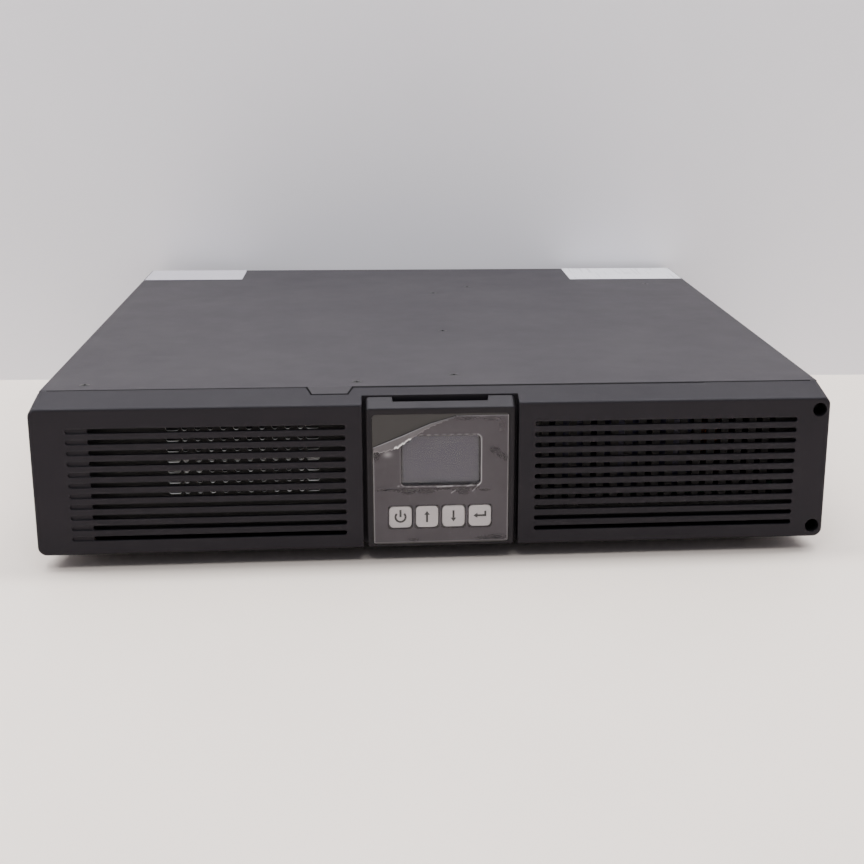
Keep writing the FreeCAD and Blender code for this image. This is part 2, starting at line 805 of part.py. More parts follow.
def make_key_switches():
    switches = []
    stem_end = seat_back_y + 1.0
    for x in key_centres():
        body = block(x - 3, x + 3, stem_end + 0.9, board_y, key_z - 3, key_z + 3)
        button = rod(x, stem_end + key_travel + 0.1, key_z, 1.0, 0.5, BACK)
        switches.append(join([body, button]))
    save("key_switches", switches)


def make_protective_film():
    """Clear film over the overlay, with the peeled corner folded along its edge."""
    right = overlay_width / 2 - film_inset
    low = overlay_low + film_inset
    low_end, bend, high_end = [(share * right, overlay_high - drop) for share, drop in film_peel]
    corners = [low_end, bend, high_end, (right, overlay_high - film_inset), (right, low), (-right, low)]
    film = prism([vec(module_x + x, overlay_y - film_thick, z) for x, z in corners], vec(0, film_thick, 0))
    shift = (film_fold * 0.3, film_fold)
    fold = [low_end, bend, (bend[0] + shift[0], bend[1] - shift[1]), (low_end[0] + shift[0], low_end[1] - shift[1])]
    height = film_proud + overlay_front - film_thick
    front = face_y - film_proud
    flap = prism([vec(module_x + x, front, z) for x, z in fold], vec(0, height, 0))
    save("protective_film", join([film, flap]))


def make_display_ribbon():
    """Flat lead from the module to the control board, with a slack fold."""
    points = [(x, behind(d), hub_z) for x, d in ribbon_points]
    path = bent_path(points)
    start = vec(*points[0])
    section = Part.makePolygon(
        [
            start + vec(-0.5, 0, -6),
            start + vec(0.5, 0, -6),
            start + vec(0.5, 0, 6),
            start + vec(-0.5, 0, 6),
            start + vec(-0.5, 0, -6),
        ]
    )
    save("display_ribbon", path.makePipeShell([section], True, False))


# ---- inside ----
def battery_places():
    width, length, height = battery_size
    first_x = tray_left + 1.5
    return [
        (first_x, tray_front + 2),
        (first_x + width + battery_gap, tray_front + 2),
        (first_x, tray_front + 2 + length + 3),
    ]


def make_battery_tray():
    floor = tray_top + 0.2
    front, rear = behind(tray_front), behind(tray_rear)
    bottom = block(tray_left, tray_right, front, rear, floor - 0.2, floor + 0.8)
    rims = [
        block(tray_left, tray_right, front, front + 1.0, floor + 0.8, floor + 40),
        block(tray_left, tray_right, rear - 1.0, rear, floor + 0.8, floor + 12),
        block(tray_left, tray_left + 1.0, front, rear, floor + 0.8, floor + 12),
        block(tray_right - 1.0, tray_right, front, rear, floor + 0.8, floor + 12),
    ]
    grip = slab(-100.0, front - 1, front + 3, 70.0, 22.0, 38.0, 6.0)
    save("battery_tray", join([bottom] + rims).cut(grip))


def make_batteries():
    width, length, height = battery_size
    floor = tray_top + 1.0
    for number, (x, distance) in enumerate(battery_places(), 1):
        y = behind(distance)
        case = block(x, x + width, y, y + length, floor, floor + height)
        case = case.makeFillet(1.5, case.Edges)
        ends = []
        for offset in (16.0, length - 16.0):
            ends.append(block(x + width - 0.5, x + width + 5, y + offset - 0.4, y + offset + 0.4, floor + 46, floor + 52))
        save("battery_%d" % number, join([case] + ends))


def make_battery_leads():
    """Leads in series from battery to battery, and from both ends to the plug."""
    width, length, height = battery_size
    floor = tray_top + 1.0
    radius = 1.8
    over = floor + height + 3.4
    high = over + 5.5
    pole = floor + 52.5
    plug_back = 32.0
    (first_x, first_y), (second_x, second_y), (third_x, third_y) = battery_places()
    left_row = first_x + width + 2.8
    right_row = second_x + width + 2.8
    near, far = 16.0, length - 16.0
    red = [
        (right_row - 6, behind(plug_back), over),
        (right_row - 6, behind(plug_back + 11), over),
        (right_row, behind(second_y + near - 3), over - 1),
        (right_row, behind(second_y + near), pole),
    ]
    save("battery_lead_red", tube(red, radius))
    black = [
        (right_row - 18, behind(plug_back), high),
        (right_row - 18, behind(plug_back + 40), high),
        (right_row - 40, behind(second_y + 80), high),
        (left_row + 20, behind(third_y + 20), high),
        (left_row + 3, behind(third_y + 90), high - 3),
        (left_row, behind(third_y + far - 3), over - 1),
        (left_row, behind(third_y + far), pole),
    ]
    save("battery_lead_black", tube(black, radius))
    cross = [
        (right_row, behind(second_y + far), pole),
        (right_row, behind(second_y + far - 2), over - 0.5),
        (right_row - 30, behind(second_y + far - 25), over - 0.5),
        (left_row + 32, behind(first_y + near + 22), over - 0.5),
        (left_row, behind(first_y + near + 2), over - 0.5),
        (left_row, behind(first_y + near), pole),
    ]
    short = [
        (left_row, behind(first_y + far), pole),
        (left_row, behind(first_y + far + 5), pole + 9),
        (left_row, behind(third_y + near - 5), pole + 9),
        (left_row, behind(third_y + near), pole),
    ]
    save("battery_jumpers", [tube(cross, radius), tube(short, radius)])
    plug = block(right_row - 24, right_row - 1, behind(plug_back - 9), behind(plug_back), over - 4, high + 3)
    save("battery_plug", plug.makeFillet(1.0, plug.Edges))


def make_boards():
    plate = block(24.0, 208.0, behind(46), behind(366), board_low, board_low + board_thick)
    save("main_board", plate.cut([rod(x, behind(d), board_low - 1, 1.7, 4, UP) for x, d in standoff_places]))
    posts = [rod(x, behind(d), tray_top, 3.0, board_low - tray_top, UP) for x, d in standoff_places]
    save("board_standoffs", posts)
    top = board_low + board_thick
    upright = block(52.0, 53.6, behind(62), behind(186), top, 80.0)
    header = block(44.0, 52.0, behind(64), behind(72), hub_z - 7, hub_z + 7)
    chips = [block(49.5, 52.0, behind(d), behind(d + 14), z, z + 14) for d, z in ((90, 55), (120, 40), (150, 56))]
    save("control_board", join([upright, header] + chips))


standoff_places = [(30.0, 52.0), (202.0, 52.0), (30.0, 206.0), (202.0, 206.0), (30.0, 360.0), (202.0, 360.0)]


def make_heat_sinks():
    sinks = []
    top = board_low + board_thick
    for x in (64.0, 118.0):
        web = block(x, x + 4, behind(110), behind(300), top, top + 58)
        fins = [
            block(x + 4, x + 22, behind(110 + i * 15), behind(112 + i * 15), top, top + 58)
            for i in range(13)
        ]
        sinks.append(join([web] + fins))
    save("heat_sinks", sinks)


def make_power_parts():
    top = board_low + board_thick
    coils = []
    for distance in (130.0, 185.0, 240.0):
        ring = rod(176, behind(distance), top, 23, 26, UP).cut(rod(176, behind(distance), top, 9, 26, UP))
        coils.append(ring.makeFillet(5.0, [e for e in ring.Edges if e.Curve.TypeId == "Part::GeomCircle"]))
    save("inductors", coils)
    cans = []
    for distance in (64.0, 92.0):
        for x in (80.0, 112.0, 144.0):
            can = rod(x, behind(distance), top, 12.5, 45, UP)
            cans.append(can.makeFillet(1.2, [can.Edges[0]]))
    save("capacitors", cans)
    core = block(150, 196, behind(272), behind(312), top, top + 42)
    window = block(149, 197, behind(282), behind(302), top + 8, top + 34)
    bobbin = block(154, 192, behind(276), behind(308), top + 8, top + 34)
    save("transformer", join([core.cut(window), bobbin]))
    relays = [block(x, x + 14, behind(326), behind(356), top, top + 24) for x in (44.0, 66.0, 88.0, 110.0)]
    save("relays", relays)


# ---- fan ----
def fan_centre_z():
    return tray_top + sheet + 1.0 + fan_size / 2


def fan_corners():
    offset = fan_size / 2 - 4.25
    z = fan_centre_z()
    return [(fan_x + a * offset, z + b * offset) for a in (-1, 1) for b in (-1, 1)]


def make_fan():
    z = fan_centre_z()
    half = fan_size / 2
    front = rear_inside - fan_depth
    frame = slab(fan_x, front, rear_inside, fan_size, z - half, z + half, 4.0)
    frame = frame.cut([rod(fan_x, front - 1, z, fan_bore, fan_depth + 2, BACK)])
    frame = frame.cut([rod(x, front - 1, cz, 2.1, fan_depth + 2, BACK) for x, cz in fan_corners()])
    waist = slab(fan_x, front + 4, rear_inside - 4, fan_size * 2, z - half - 1, z + half + 1, 1.0)
    waist = waist.cut(rod(fan_x, front, z, half + 0.0, fan_depth, BACK))
    corners = [rod(x, front, cz, 5.0, fan_depth, BACK) for x, cz in fan_corners()]
    waist = waist.cut(corners)
    frame = frame.cut(waist)
    motor = rod(fan_x, front, z, 17.0, 3.0, BACK)
    struts = []
    for number in range(4):
        strut = block(fan_x - 1.2, fan_x + 1.2, front, front + 3, z + 10, z + fan_bore + 0.5)
        strut.rotate(vec(fan_x, front, z), BACK, 45 + 90 * number)
        struts.append(strut)
    bearing = rod(fan_x, front, z, 4.5, 14.0, BACK)
    frame = join([frame, motor, bearing] + struts)
    frame = frame.cut(rod(fan_x, front - 1, z, shaft_radius + shaft_clearance, 20, BACK))
    save("fan_frame", frame)

    blades = []
    hub_front = front + 4
    hub_length = fan_depth - 6
    for number in range(7):
        blade = prism(
            [
                vec(fan_x - 1, hub_front + 0.5, z + 15),
                vec(fan_x + 0.8, hub_front + 0.5, z + 15),
                vec(fan_x + 13.8, hub_front + hub_length - 0.5, z + 15),
                vec(fan_x + 12, hub_front + hub_length - 0.5, z + 15),
            ],
            vec(0, 0, fan_bore),
        )
        blade.rotate(vec(fan_x, front, z), BACK, 360.0 / 7 * number)
        blades.append(blade)
    tip = rod(fan_x, hub_front, z, fan_bore - fan_blade_gap, hub_length, BACK)
    hub = rod(fan_x, hub_front, z, 17.5, hub_length, BACK)
    hub = hub.cut(rod(fan_x, hub_front - 1, z, 15.5, hub_length - 1.0, BACK))
    core = rod(fan_x, hub_front, z, 16.5, hub_length, BACK)
    shaft = rod(fan_x, front + 0.5, z, shaft_radius, hub_front + hub_length - front - 0.5, BACK)
    rotor = join([b.common(tip).cut(core) for b in blades] + [hub, shaft])
    save("fan_rotor", rotor)


def make_fan_guard():
    """Wire rings on two crossed wires, which run to an eye at each fan corner."""
    z = fan_centre_z()
    wire = guard_wire
    ring_y = rear_y + guard_eye
    radii = [fan_bore - 0.5 - number * guard_ring_pitch for number in range(guard_ring_count)]
    rings = [Part.makeTorus(radius, wire, vec(fan_x, ring_y, z), BACK) for radius in radii if radius > 4]
    cross_y = ring_y - guard_wire * 1.25
    reach = math.hypot(fan_corners()[0][0] - fan_x, fan_corners()[0][1] - z) - 3.0
    spokes = []
    for turn in (45.0, 135.0):
        spoke = rod(fan_x, cross_y, z - reach, wire, 2 * reach, UP)
        spoke.rotate(vec(fan_x, cross_y, z), BACK, turn)
        spokes.append(spoke)
    eyes = [
        rod(x, rear_y, cz, 4.0, guard_eye, BACK).cut(rod(x, rear_y - 1, cz, 1.9, 5, BACK))
        for x, cz in fan_corners()
    ]
    guard = spokes[0]
    for shape in spokes[1:] + rings + eyes:
        guard = guard.fuse(shape)
    save("fan_guard", guard)


def make_fan_screws():
    shape = pan_screw(3.0, 1.9, 1.7, 10.0)
    seat = rear_y + guard_eye
    save("fan_screws", [aim(shape, vec(x, seat, z), BACK) for x, z in fan_corners()])


# ---- rear fittings ----
bank_body_width = 106.0
ground_x = -92.0
ground_z = 14.0


def make_inlet():
    low, high = inlet_z - inlet_half, inlet_z + inlet_half
    plate = slab(inlet_x, rear_y, rear_y + 2.0, inlet_width + 4, low - 2.1, high + 2.1, 2.0)
    body = slab(inlet_x, rear_y - inlet_body_depth, rear_y, inlet_width, low, high, 1.0)
    mouth_end = rear_y - inlet_mouth_depth
    mouth = prism(
        [
            vec(inlet_x - 12.1, mouth_end, inlet_z - 8.2),
            vec(inlet_x + 12.1, mouth_end, inlet_z - 8.2),
            vec(inlet_x + 12.1, mouth_end, inlet_z + 4.0),
            vec(inlet_x + 7.9, mouth_end, inlet_z + 8.2),
            vec(inlet_x - 7.9, mouth_end, inlet_z + 8.2),
            vec(inlet_x - 12.1, mouth_end, inlet_z + 4.0),
        ],
        vec(0, inlet_mouth_depth + 3, 0),
    )
    tail_end = rear_y - inlet_body_depth
    pins, tails = [], []
    for pin_x, pin_z in inlet_pin_places:
        x, z = inlet_x + pin_x, inlet_z + pin_z
        pin = block(x - 1, x + 1, mouth_end, rear_y, z - 2, z + 2)
        tip = [e for e in pin.Edges if all(v.Y > rear_y - 1 for v in e.Vertexes)]
        pins.append(pin.makeFillet(0.5, tip))
        tails.append(block(x - 2, x + 2, tail_end - 8, tail_end, z - 0.4, z + 0.4))
    save("inlet_socket", join([plate, body] + tails).cut(mouth))
    save("inlet_pins", pins)


def outlet_bank(z):
    """Moulded block of three sockets with a raised island and three contact slots in each."""
    edge = bank_half + 2.5
    plate = slab(bank_x, rear_y, rear_y + 2.0, bank_body_width + 6, z - edge, z + edge, 2.0)
    body = slab(bank_x, rear_y - bank_depth, rear_y, bank_body_width, z - bank_half, z + bank_half, 1.0)
    shape = join([plate, body])
    for number in (-1, 0, 1):
        x = bank_x + number * outlet_pitch
        ring = slab(x, rear_y - 15, rear_y + 3, 24.4, z - 8.4, z + 8.4, 3.0)
        island = slab(x, rear_y - 16, rear_y + 1.2, 20.6, z - 6.5, z + 6.5, 2.0)
        shape = shape.cut(ring.cut(island))
        for pin_x, pin_z in outlet_pin_places:
            slot = (x + pin_x - 1.2, x + pin_x + 1.2, rear_y - 13, rear_y + 3, z + pin_z - 2.2, z + pin_z + 2.2)
            shape = shape.cut(block(*slot))
    return shape


def make_outlets():
    save("outlet_bank_upper", outlet_bank(bank_upper_z))
    save("outlet_bank_lower", outlet_bank(bank_lower_z))


def make_breaker():
    body = slab(breaker_x, rear_y - 32, rear_inside, 16.0, breaker_z - 14, breaker_z + 14, 1.0)
    neck = rod(breaker_x, rear_inside, breaker_z, breaker_neck, sheet + 2.4, BACK)
    nut = breaker_neck + 2
    ring = prism(
        [
            vec(breaker_x + nut * math.cos(a), rear_y, breaker_z + nut * math.sin(a))
            for a in [math.radians(60 * n) for n in range(6)]
        ],
        vec(0, 1.8, 0),
    )
    well = rod(breaker_x, rear_y - 18.3, breaker_z, breaker_well, 22.3, BACK)
    save("breaker_body", join([body, neck, ring]).cut(well))
    button = rod(breaker_x, rear_y - 14, breaker_z, breaker_button_radius, 17.6, BACK)
    save("breaker_button", button.makeFillet(0.7, [button.Edges[0]]))


def make_serial_port():
    z = serial_z
    shell = slab(port_x, rear_y, rear_y + 1.0, 31.0, z - 6.2, z + 6.2, 2.0)
    collar = slab(port_x, rear_y - 8, rear_y + 4.0, 17.4, z - 4.2, z + 4.2, 2.5)
    room = slab(port_x, rear_y - 4, rear_y + 5.0, 16.4, z - 3.7, z + 3.7, 2.2)
    port = join([shell, collar]).cut(room)
    contacts = [rod(port_x - 5.4 + 2.7 * n, rear_y - 5, z + 1.4, 0.5, 6.5, BACK) for n in range(5)]
    contacts += [rod(port_x - 4.05 + 2.7 * n, rear_y - 5, z - 1.4, 0.5, 6.5, BACK) for n in range(4)]
    posts = []
    for side in (-1, 1):
        x = port_x + side * 12.5
        post = rod(x, rear_y + 1, z, 2.4, 4.0, BACK)
        posts.append(post.cut(rod(x, rear_y + 1, z, 1.3, 5, BACK)))
    save("serial_port", join([port] + contacts + posts))


def make_usb_port():
    case = slab(port_x, rear_y - 16, rear_y + 0.8, 12.0, usb_z - 5.5, usb_z + 5.5, 0.5)
    room = slab(port_x, rear_y - 12, rear_y + 2, 8.6, usb_z - 3.9, usb_z + 3.9, 1.2)
    tongue = block(port_x - 2.8, port_x + 2.8, rear_y - 13, rear_y - 1, usb_z - 1.6, usb_z + 1.6)
    save("usb_port", join([case.cut(room), tongue]))


def make_epo_terminal():
    body = slab(port_x, rear_y - 10, rear_y + 3.0, 15.0, epo_z - 4.5, epo_z + 4.5, 0.5)
    holes = [slab(port_x + s * 3.0, rear_y - 6, rear_y + 4, 3.6, epo_z - 1.6, epo_z + 2.0, 0.5) for s in (-1, 1)]
    save("epo_terminal", body.cut(holes))


def make_slot_cover():
    mouth_width, mouth_half = slot_mouth
    outside = rear_y + slot_plate
    plate = slab(slot_x, rear_y, outside, mouth_width + 20, slot_z - mouth_half - 4, slot_z + mouth_half + 4, 1.5)
    lip_low = slot_z - mouth_half + 0.5
    lip_half = mouth_width / 2 - 0.5
    lip = block(slot_x - lip_half, slot_x + lip_half, rear_y - 8, rear_y, lip_low, lip_low + 1)
    places = [slot_x - slot_screw_offset, slot_x + slot_screw_offset]
    save("slot_cover", join([plate, lip]).cut([rod(x, rear_y - 1, slot_z, 1.7, 4, BACK) for x in places]))
    screws = []
    head = rear_proud - slot_plate
    for x in places:
        knob = rod(x, outside, slot_z, 4.0, head, BACK)
        knob = knob.makeFillet(0.5, [knob.Edges[0]])
        top = outside + head
        blade_slot = block(x - 4.5, x + 4.5, top - 1.2, top + 1, slot_z - 0.5, slot_z + 0.5)
        shank = rod(x, rear_y - 6, slot_z, 1.45, 6 + slot_plate, BACK)
        screws.append(join([knob.cut(blade_slot), shank]))
    save("slot_cover_screws", screws)


def make_battery_connector():
    z = connector_z
    frame_half = connector_half + 2.5
    body_start = rear_y - 24
    frame = slab(connector_x, rear_y, rear_y + 2.0, connector_width + 6, z - frame_half, z + frame_half, 2.0)
    body = slab(connector_x, body_start, rear_y, connector_width, z - connector_half, z + connector_half, 1.5)
    shape = join([frame, body])
    mouth_width, mouth_half = pole_mouth
    blade_half, blade_thin = pole_blade
    for side in (-1, 1):
        x = connector_x + side * pole_offset
        shape = shape.cut(slab(x, rear_y - 18, rear_y + 3, mouth_width, z - mouth_half, z + mouth_half, 1.5))
        blade = block(x - blade_half, x + blade_half, rear_y - 19, rear_y - 2, z - blade_thin, z + blade_thin)
        shape = join([shape, blade])
    save("battery_connector", shape)


def make_ground_screw():
    shape = pan_screw(3.8, 2.6, 1.9, 9.0)
    washer = Part.makeCylinder(5.0, 0.8).cut(Part.makeCylinder(1.9, 0.8))
    head = shape.copy()
    head.translate(vec(0, 0, 0.8))
    save("ground_screw", aim(join([head, washer]), vec(ground_x, rear_y, ground_z), BACK))


def main():
    make_top_cover()
    make_base_tray()
    make_front_wall()
    make_battery_cover()
    make_battery_cover_screws()
    make_battery_divider()
    make_cross_brace()
    make_rear_panel()
    make_case_screws()
    make_feet()
    make_labels()
    make_front_bezel()
    make_bezel_screws()
    make_module_housing()
    make_module_back_cover()
    make_display_board()
    make_lcd_panel()
    make_face_plate()
    make_display_window()
    make_keys()
    make_key_switches()
    make_protective_film()
    make_display_ribbon()
    make_battery_tray()
    make_batteries()
    make_battery_leads()
    make_boards()
    make_heat_sinks()
    make_power_parts()
    make_fan()
    make_fan_guard()
    make_fan_screws()
    make_inlet()
    make_outlets()
    make_breaker()
    make_serial_port()
    make_usb_port()
    make_epo_terminal()
    make_slot_cover()
    make_battery_connector()
    make_ground_screw()


main()
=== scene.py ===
import math

import bpy
from mathutils import Matrix, Vector


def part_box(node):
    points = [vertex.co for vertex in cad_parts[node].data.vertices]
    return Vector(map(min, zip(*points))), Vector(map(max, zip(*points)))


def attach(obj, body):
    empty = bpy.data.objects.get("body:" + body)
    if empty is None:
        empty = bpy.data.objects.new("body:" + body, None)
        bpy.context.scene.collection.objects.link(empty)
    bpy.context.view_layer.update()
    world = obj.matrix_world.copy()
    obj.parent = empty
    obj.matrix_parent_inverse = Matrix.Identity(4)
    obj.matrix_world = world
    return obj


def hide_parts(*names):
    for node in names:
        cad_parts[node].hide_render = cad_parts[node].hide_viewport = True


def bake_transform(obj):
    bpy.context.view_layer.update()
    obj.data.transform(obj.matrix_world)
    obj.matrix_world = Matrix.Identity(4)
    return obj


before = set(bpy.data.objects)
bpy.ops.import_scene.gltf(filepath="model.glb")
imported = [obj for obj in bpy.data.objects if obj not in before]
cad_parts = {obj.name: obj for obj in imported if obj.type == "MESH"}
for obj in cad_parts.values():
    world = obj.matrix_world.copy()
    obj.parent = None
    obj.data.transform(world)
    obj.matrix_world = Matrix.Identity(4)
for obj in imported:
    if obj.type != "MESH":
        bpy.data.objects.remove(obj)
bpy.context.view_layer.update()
print("frame loaded")

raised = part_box("front_bezel")[0][2] - 0.0003      # height of the case on its feet

# camera
camera = {
    "place": (-0.03618, -0.90391, 0.27257),
    "right": (0.99488, -0.10046, 0.01118),
    "forward": (0.10002, 0.96236, -0.25270),
    "lens": 55.364,       # millimetres on a 36 mm sensor
    "shift": (-0.08733, -0.04771),
}


def addCamera():
    data = bpy.data.cameras.new("camera")
    data.lens = camera["lens"]
    data.sensor_width = 36.0
    data.shift_x, data.shift_y = camera["shift"]
    data.clip_start = 0.01
    forward = Vector(camera["forward"]).normalized()
    right = Vector(camera["right"])
    right = (right - forward * right.dot(forward)).normalized()
    up = right.cross(forward)
    turn = Matrix((right, up, -forward)).transposed()
    eye = bpy.data.objects.new("camera", data)
    eye.matrix_world = Matrix.Translation(Vector(camera["place"]) + Vector((0, 0, raised))) @ turn.to_4x4()
    bpy.context.scene.collection.objects.link(eye)
    bpy.context.scene.camera = eye


addCamera()
print("camera set")


# node helpers
def newMaterial(name):
    material = bpy.data.materials.new(name)
    material.use_nodes = True
    tree = material.node_tree
    return material, tree, tree.nodes["Principled BSDF"]


def addNode(tree, kind, **settings):
    node = tree.nodes.new(kind)
    for key, value in settings.items():
        if key in node.bl_rna.properties:
            setattr(node, key, value)
        else:
            node.inputs[key.replace("_", " ")].default_value = value
    return node


def objectCoords(tree):
    return addNode(tree, "ShaderNodeTexCoord").outputs["Object"]


def noiseOf(tree, coords, scale, detail=3.0, roughness=0.5, stretch=None):
    if stretch:
        mapping = addNode(tree, "ShaderNodeMapping", Scale=stretch)
        tree.links.new(coords, mapping.inputs["Vector"])
        coords = mapping.outputs["Vector"]
    noise = addNode(tree, "ShaderNodeTexNoise", Scale=scale, Detail=detail, Roughness=roughness)
    tree.links.new(coords, noise.inputs["Vector"])
    return noise.outputs["Fac"]


def rangeOf(tree, value, low, high, toLow, toHigh, smooth=False):
    node = addNode(tree, "ShaderNodeMapRange")
    if smooth:
        node.interpolation_type = "SMOOTHSTEP"
    tree.links.new(value, node.inputs["Value"])
    node.inputs["From Min"].default_value = low
    node.inputs["From Max"].default_value = high
    node.inputs["To Min"].default_value = toLow
    node.inputs["To Max"].default_value = toHigh
    return node.outputs["Result"]


def mathOf(tree, operation, first, second=None):
    node = addNode(tree, "ShaderNodeMath", operation=operation)
    for socket, value in zip(node.inputs, (first, second)):
        if value is None:
            continue
        if isinstance(value, (int, float)):
            socket.default_value = value
        else:
            tree.links.new(value, socket)
    return node.outputs["Value"]


def blendColour(tree, factor, first, second):
    node = addNode(tree, "ShaderNodeMix", data_type="RGBA")
    sockets = [node.inputs[0], node.inputs[6], node.inputs[7]]
    for socket, value in zip(sockets, (factor, first, second)):
        if isinstance(value, tuple):
            socket.default_value = value if len(value) == 4 else (*value, 1.0)
        elif isinstance(value, (int, float)):
            socket.default_value = value
        else:
            tree.links.new(value, socket)
    return node.outputs[2]


# shared effects
def groupShell(name, inputs, outputs):
    tree = bpy.data.node_groups.new(name, "ShaderNodeTree")
    for label, default in inputs:
        socket = tree.interface.new_socket(label, in_out="INPUT", socket_type="NodeSocketFloat")
        socket.default_value = default
    for label in outputs:
        tree.interface.new_socket(label, in_out="OUTPUT", socket_type="NodeSocketFloat")
    start = tree.nodes.new("NodeGroupInput")
    end = tree.nodes.new("NodeGroupOutput")
    return tree, start, end


def makeGrainGroup():
    # fine moulded or powder-coat grain: two sizes of noise
    tree, start, end = groupShell("surfaceGrain", [("Scale", 1.0)], ["Height", "Mottle"])
    coords = objectCoords(tree)
    scaled = addNode(tree, "ShaderNodeVectorMath", operation="SCALE")
    tree.links.new(coords, scaled.inputs[0])
    tree.links.new(start.outputs["Scale"], scaled.inputs["Scale"])
    fine = noiseOf(tree, scaled.outputs[0], 2600.0, 2.0)
    coarse = noiseOf(tree, scaled.outputs[0], 900.0, 2.0)
    total = mathOf(tree, "ADD", mathOf(tree, "MULTIPLY", fine, 0.65), mathOf(tree, "MULTIPLY", coarse, 0.35))
    mottle = noiseOf(tree, scaled.outputs[0], 38.0, 4.0, 0.6)
    tree.links.new(total, end.inputs["Height"])
    tree.links.new(mottle, end.inputs["Mottle"])
    return tree


def makeEdgeGroup():
    # bright line along sharp edges, broken up by noise: partly rubbed wear, partly a painted highlight where
    # the edges catch the light
    tree, start, end = groupShell("edgeWearAndHighlight", [("Amount", 0.5), ("Break", 180.0)], ["Mask"])
    bevel = addNode(tree, "ShaderNodeBevel", samples=4, Radius=0.0006)
    flat = addNode(tree, "ShaderNodeNewGeometry")
    dot = addNode(tree, "ShaderNodeVectorMath", operation="DOT_PRODUCT")
    tree.links.new(bevel.outputs["Normal"], dot.inputs[0])
    tree.links.new(flat.outputs["True Normal"], dot.inputs[1])
    edge = rangeOf(tree, dot.outputs["Value"], 0.995, 0.86, 0.0, 1.0)
    noise = addNode(tree, "ShaderNodeTexNoise", Detail=4.0)
    tree.links.new(objectCoords(tree), noise.inputs["Vector"])
    tree.links.new(start.outputs["Break"], noise.inputs["Scale"])
    broken = rangeOf(tree, noise.outputs["Fac"], 0.38, 0.62, 0.15, 1.0)
    mask = mathOf(tree, "MULTIPLY", mathOf(tree, "MULTIPLY", edge, broken), start.outputs["Amount"])
    tree.links.new(mask, end.inputs["Mask"])
    return tree


def makeDustGroup():
    # settled dust, heavier on faces that look up
    tree, start, end = groupShell("settledDust", [("Amount", 0.5)], ["Mask"])
    flat = addNode(tree, "ShaderNodeNewGeometry")
    split = addNode(tree, "ShaderNodeSeparateXYZ")
    tree.links.new(flat.outputs["Normal"], split.inputs[0])
    upward = rangeOf(tree, split.outputs["Z"], 0.1, 0.9, 0.08, 1.0)
    coords = objectCoords(tree)
    clouds = rangeOf(tree, noiseOf(tree, coords, 14.0, 5.0, 0.65), 0.35, 0.7, 0.25, 1.0)
    specks = rangeOf(tree, noiseOf(tree, coords, 1500.0, 1.0), 0.60, 0.78, 0.0, 0.5)
    total = mathOf(tree, "MAXIMUM", clouds, specks)
    mask = mathOf(tree, "MULTIPLY", mathOf(tree, "MULTIPLY", total, upward), start.outputs["Amount"])
    tree.links.new(mask, end.inputs["Mask"])
    return tree


groups = {"grain": makeGrainGroup(), "edge": makeEdgeGroup(), "dust": makeDustGroup()}


def addGroup(tree, key, **values):
    node = tree.nodes.new("ShaderNodeGroup")
    node.node_tree = groups[key]
    for label, value in values.items():
        node.inputs[label].default_value = value
    return node


def bumpOf(tree, height, strength, distance, under=None):
    bump = addNode(tree, "ShaderNodeBump", Strength=strength, Distance=distance)
    tree.links.new(height, bump.inputs["Height"])
    if under is not None:
        tree.links.new(under, bump.inputs["Normal"])
    return bump.outputs["Normal"]


def softEdges(tree, radius):
    return addNode(tree, "ShaderNodeBevel", samples=4, Radius=radius).outputs["Normal"]


def coatedFinish(name, look):
    # one layer of colour with mottling, fine grain, rubbed edges that also carry a painted highlight, and
    # dust
    material, tree, shader = newMaterial(name)
    grain = addGroup(tree, "grain", Scale=look.get("grainScale", 1.0))
    mottle = rangeOf(tree, grain.outputs["Mottle"], 0.3, 0.7, 0.0, 1.0)
    colour = blendColour(tree, mottle, look["colour"], look["second"])
    # edge line: rubbed wear plus a painted highlight along the edges
    if look.get("rubAndHighlight"):
        rubAndHighlight = addGroup(tree, "edge", Amount=look["rubAndHighlight"])
        colour = blendColour(tree, rubAndHighlight.outputs["Mask"], colour, look["rubAndHighlightColour"])
    rough = rangeOf(tree, grain.outputs["Mottle"], 0.3, 0.7, look["rough"] - 0.05, look["rough"] + 0.05)
    if look.get("dust"):
        dust = addGroup(tree, "dust", Amount=look["dust"])
        colour = blendColour(tree, dust.outputs["Mask"], colour, (0.33, 0.32, 0.31))
        rough = mathOf(tree, "ADD", rough, mathOf(tree, "MULTIPLY", dust.outputs["Mask"], 0.3))
    tree.links.new(colour, shader.inputs["Base Color"])
    tree.links.new(rough, shader.inputs["Roughness"])
    shader.inputs["Metallic"].default_value = look.get("metallic", 0.0)
    shader.inputs["Specular IOR Level"].default_value = look.get("specular", 0.5)
    shader.inputs["Specular Tint"].default_value = (*look.get("tint", (1.0, 1.0, 1.0)), 1.0)
    edges = softEdges(tree, look.get("edgeRadius", 0.0003))
    normal = bumpOf(tree, grain.outputs["Height"], look.get("grain", 0.2), 0.0001, edges)
    tree.links.new(normal, shader.inputs["Normal"])
    return material


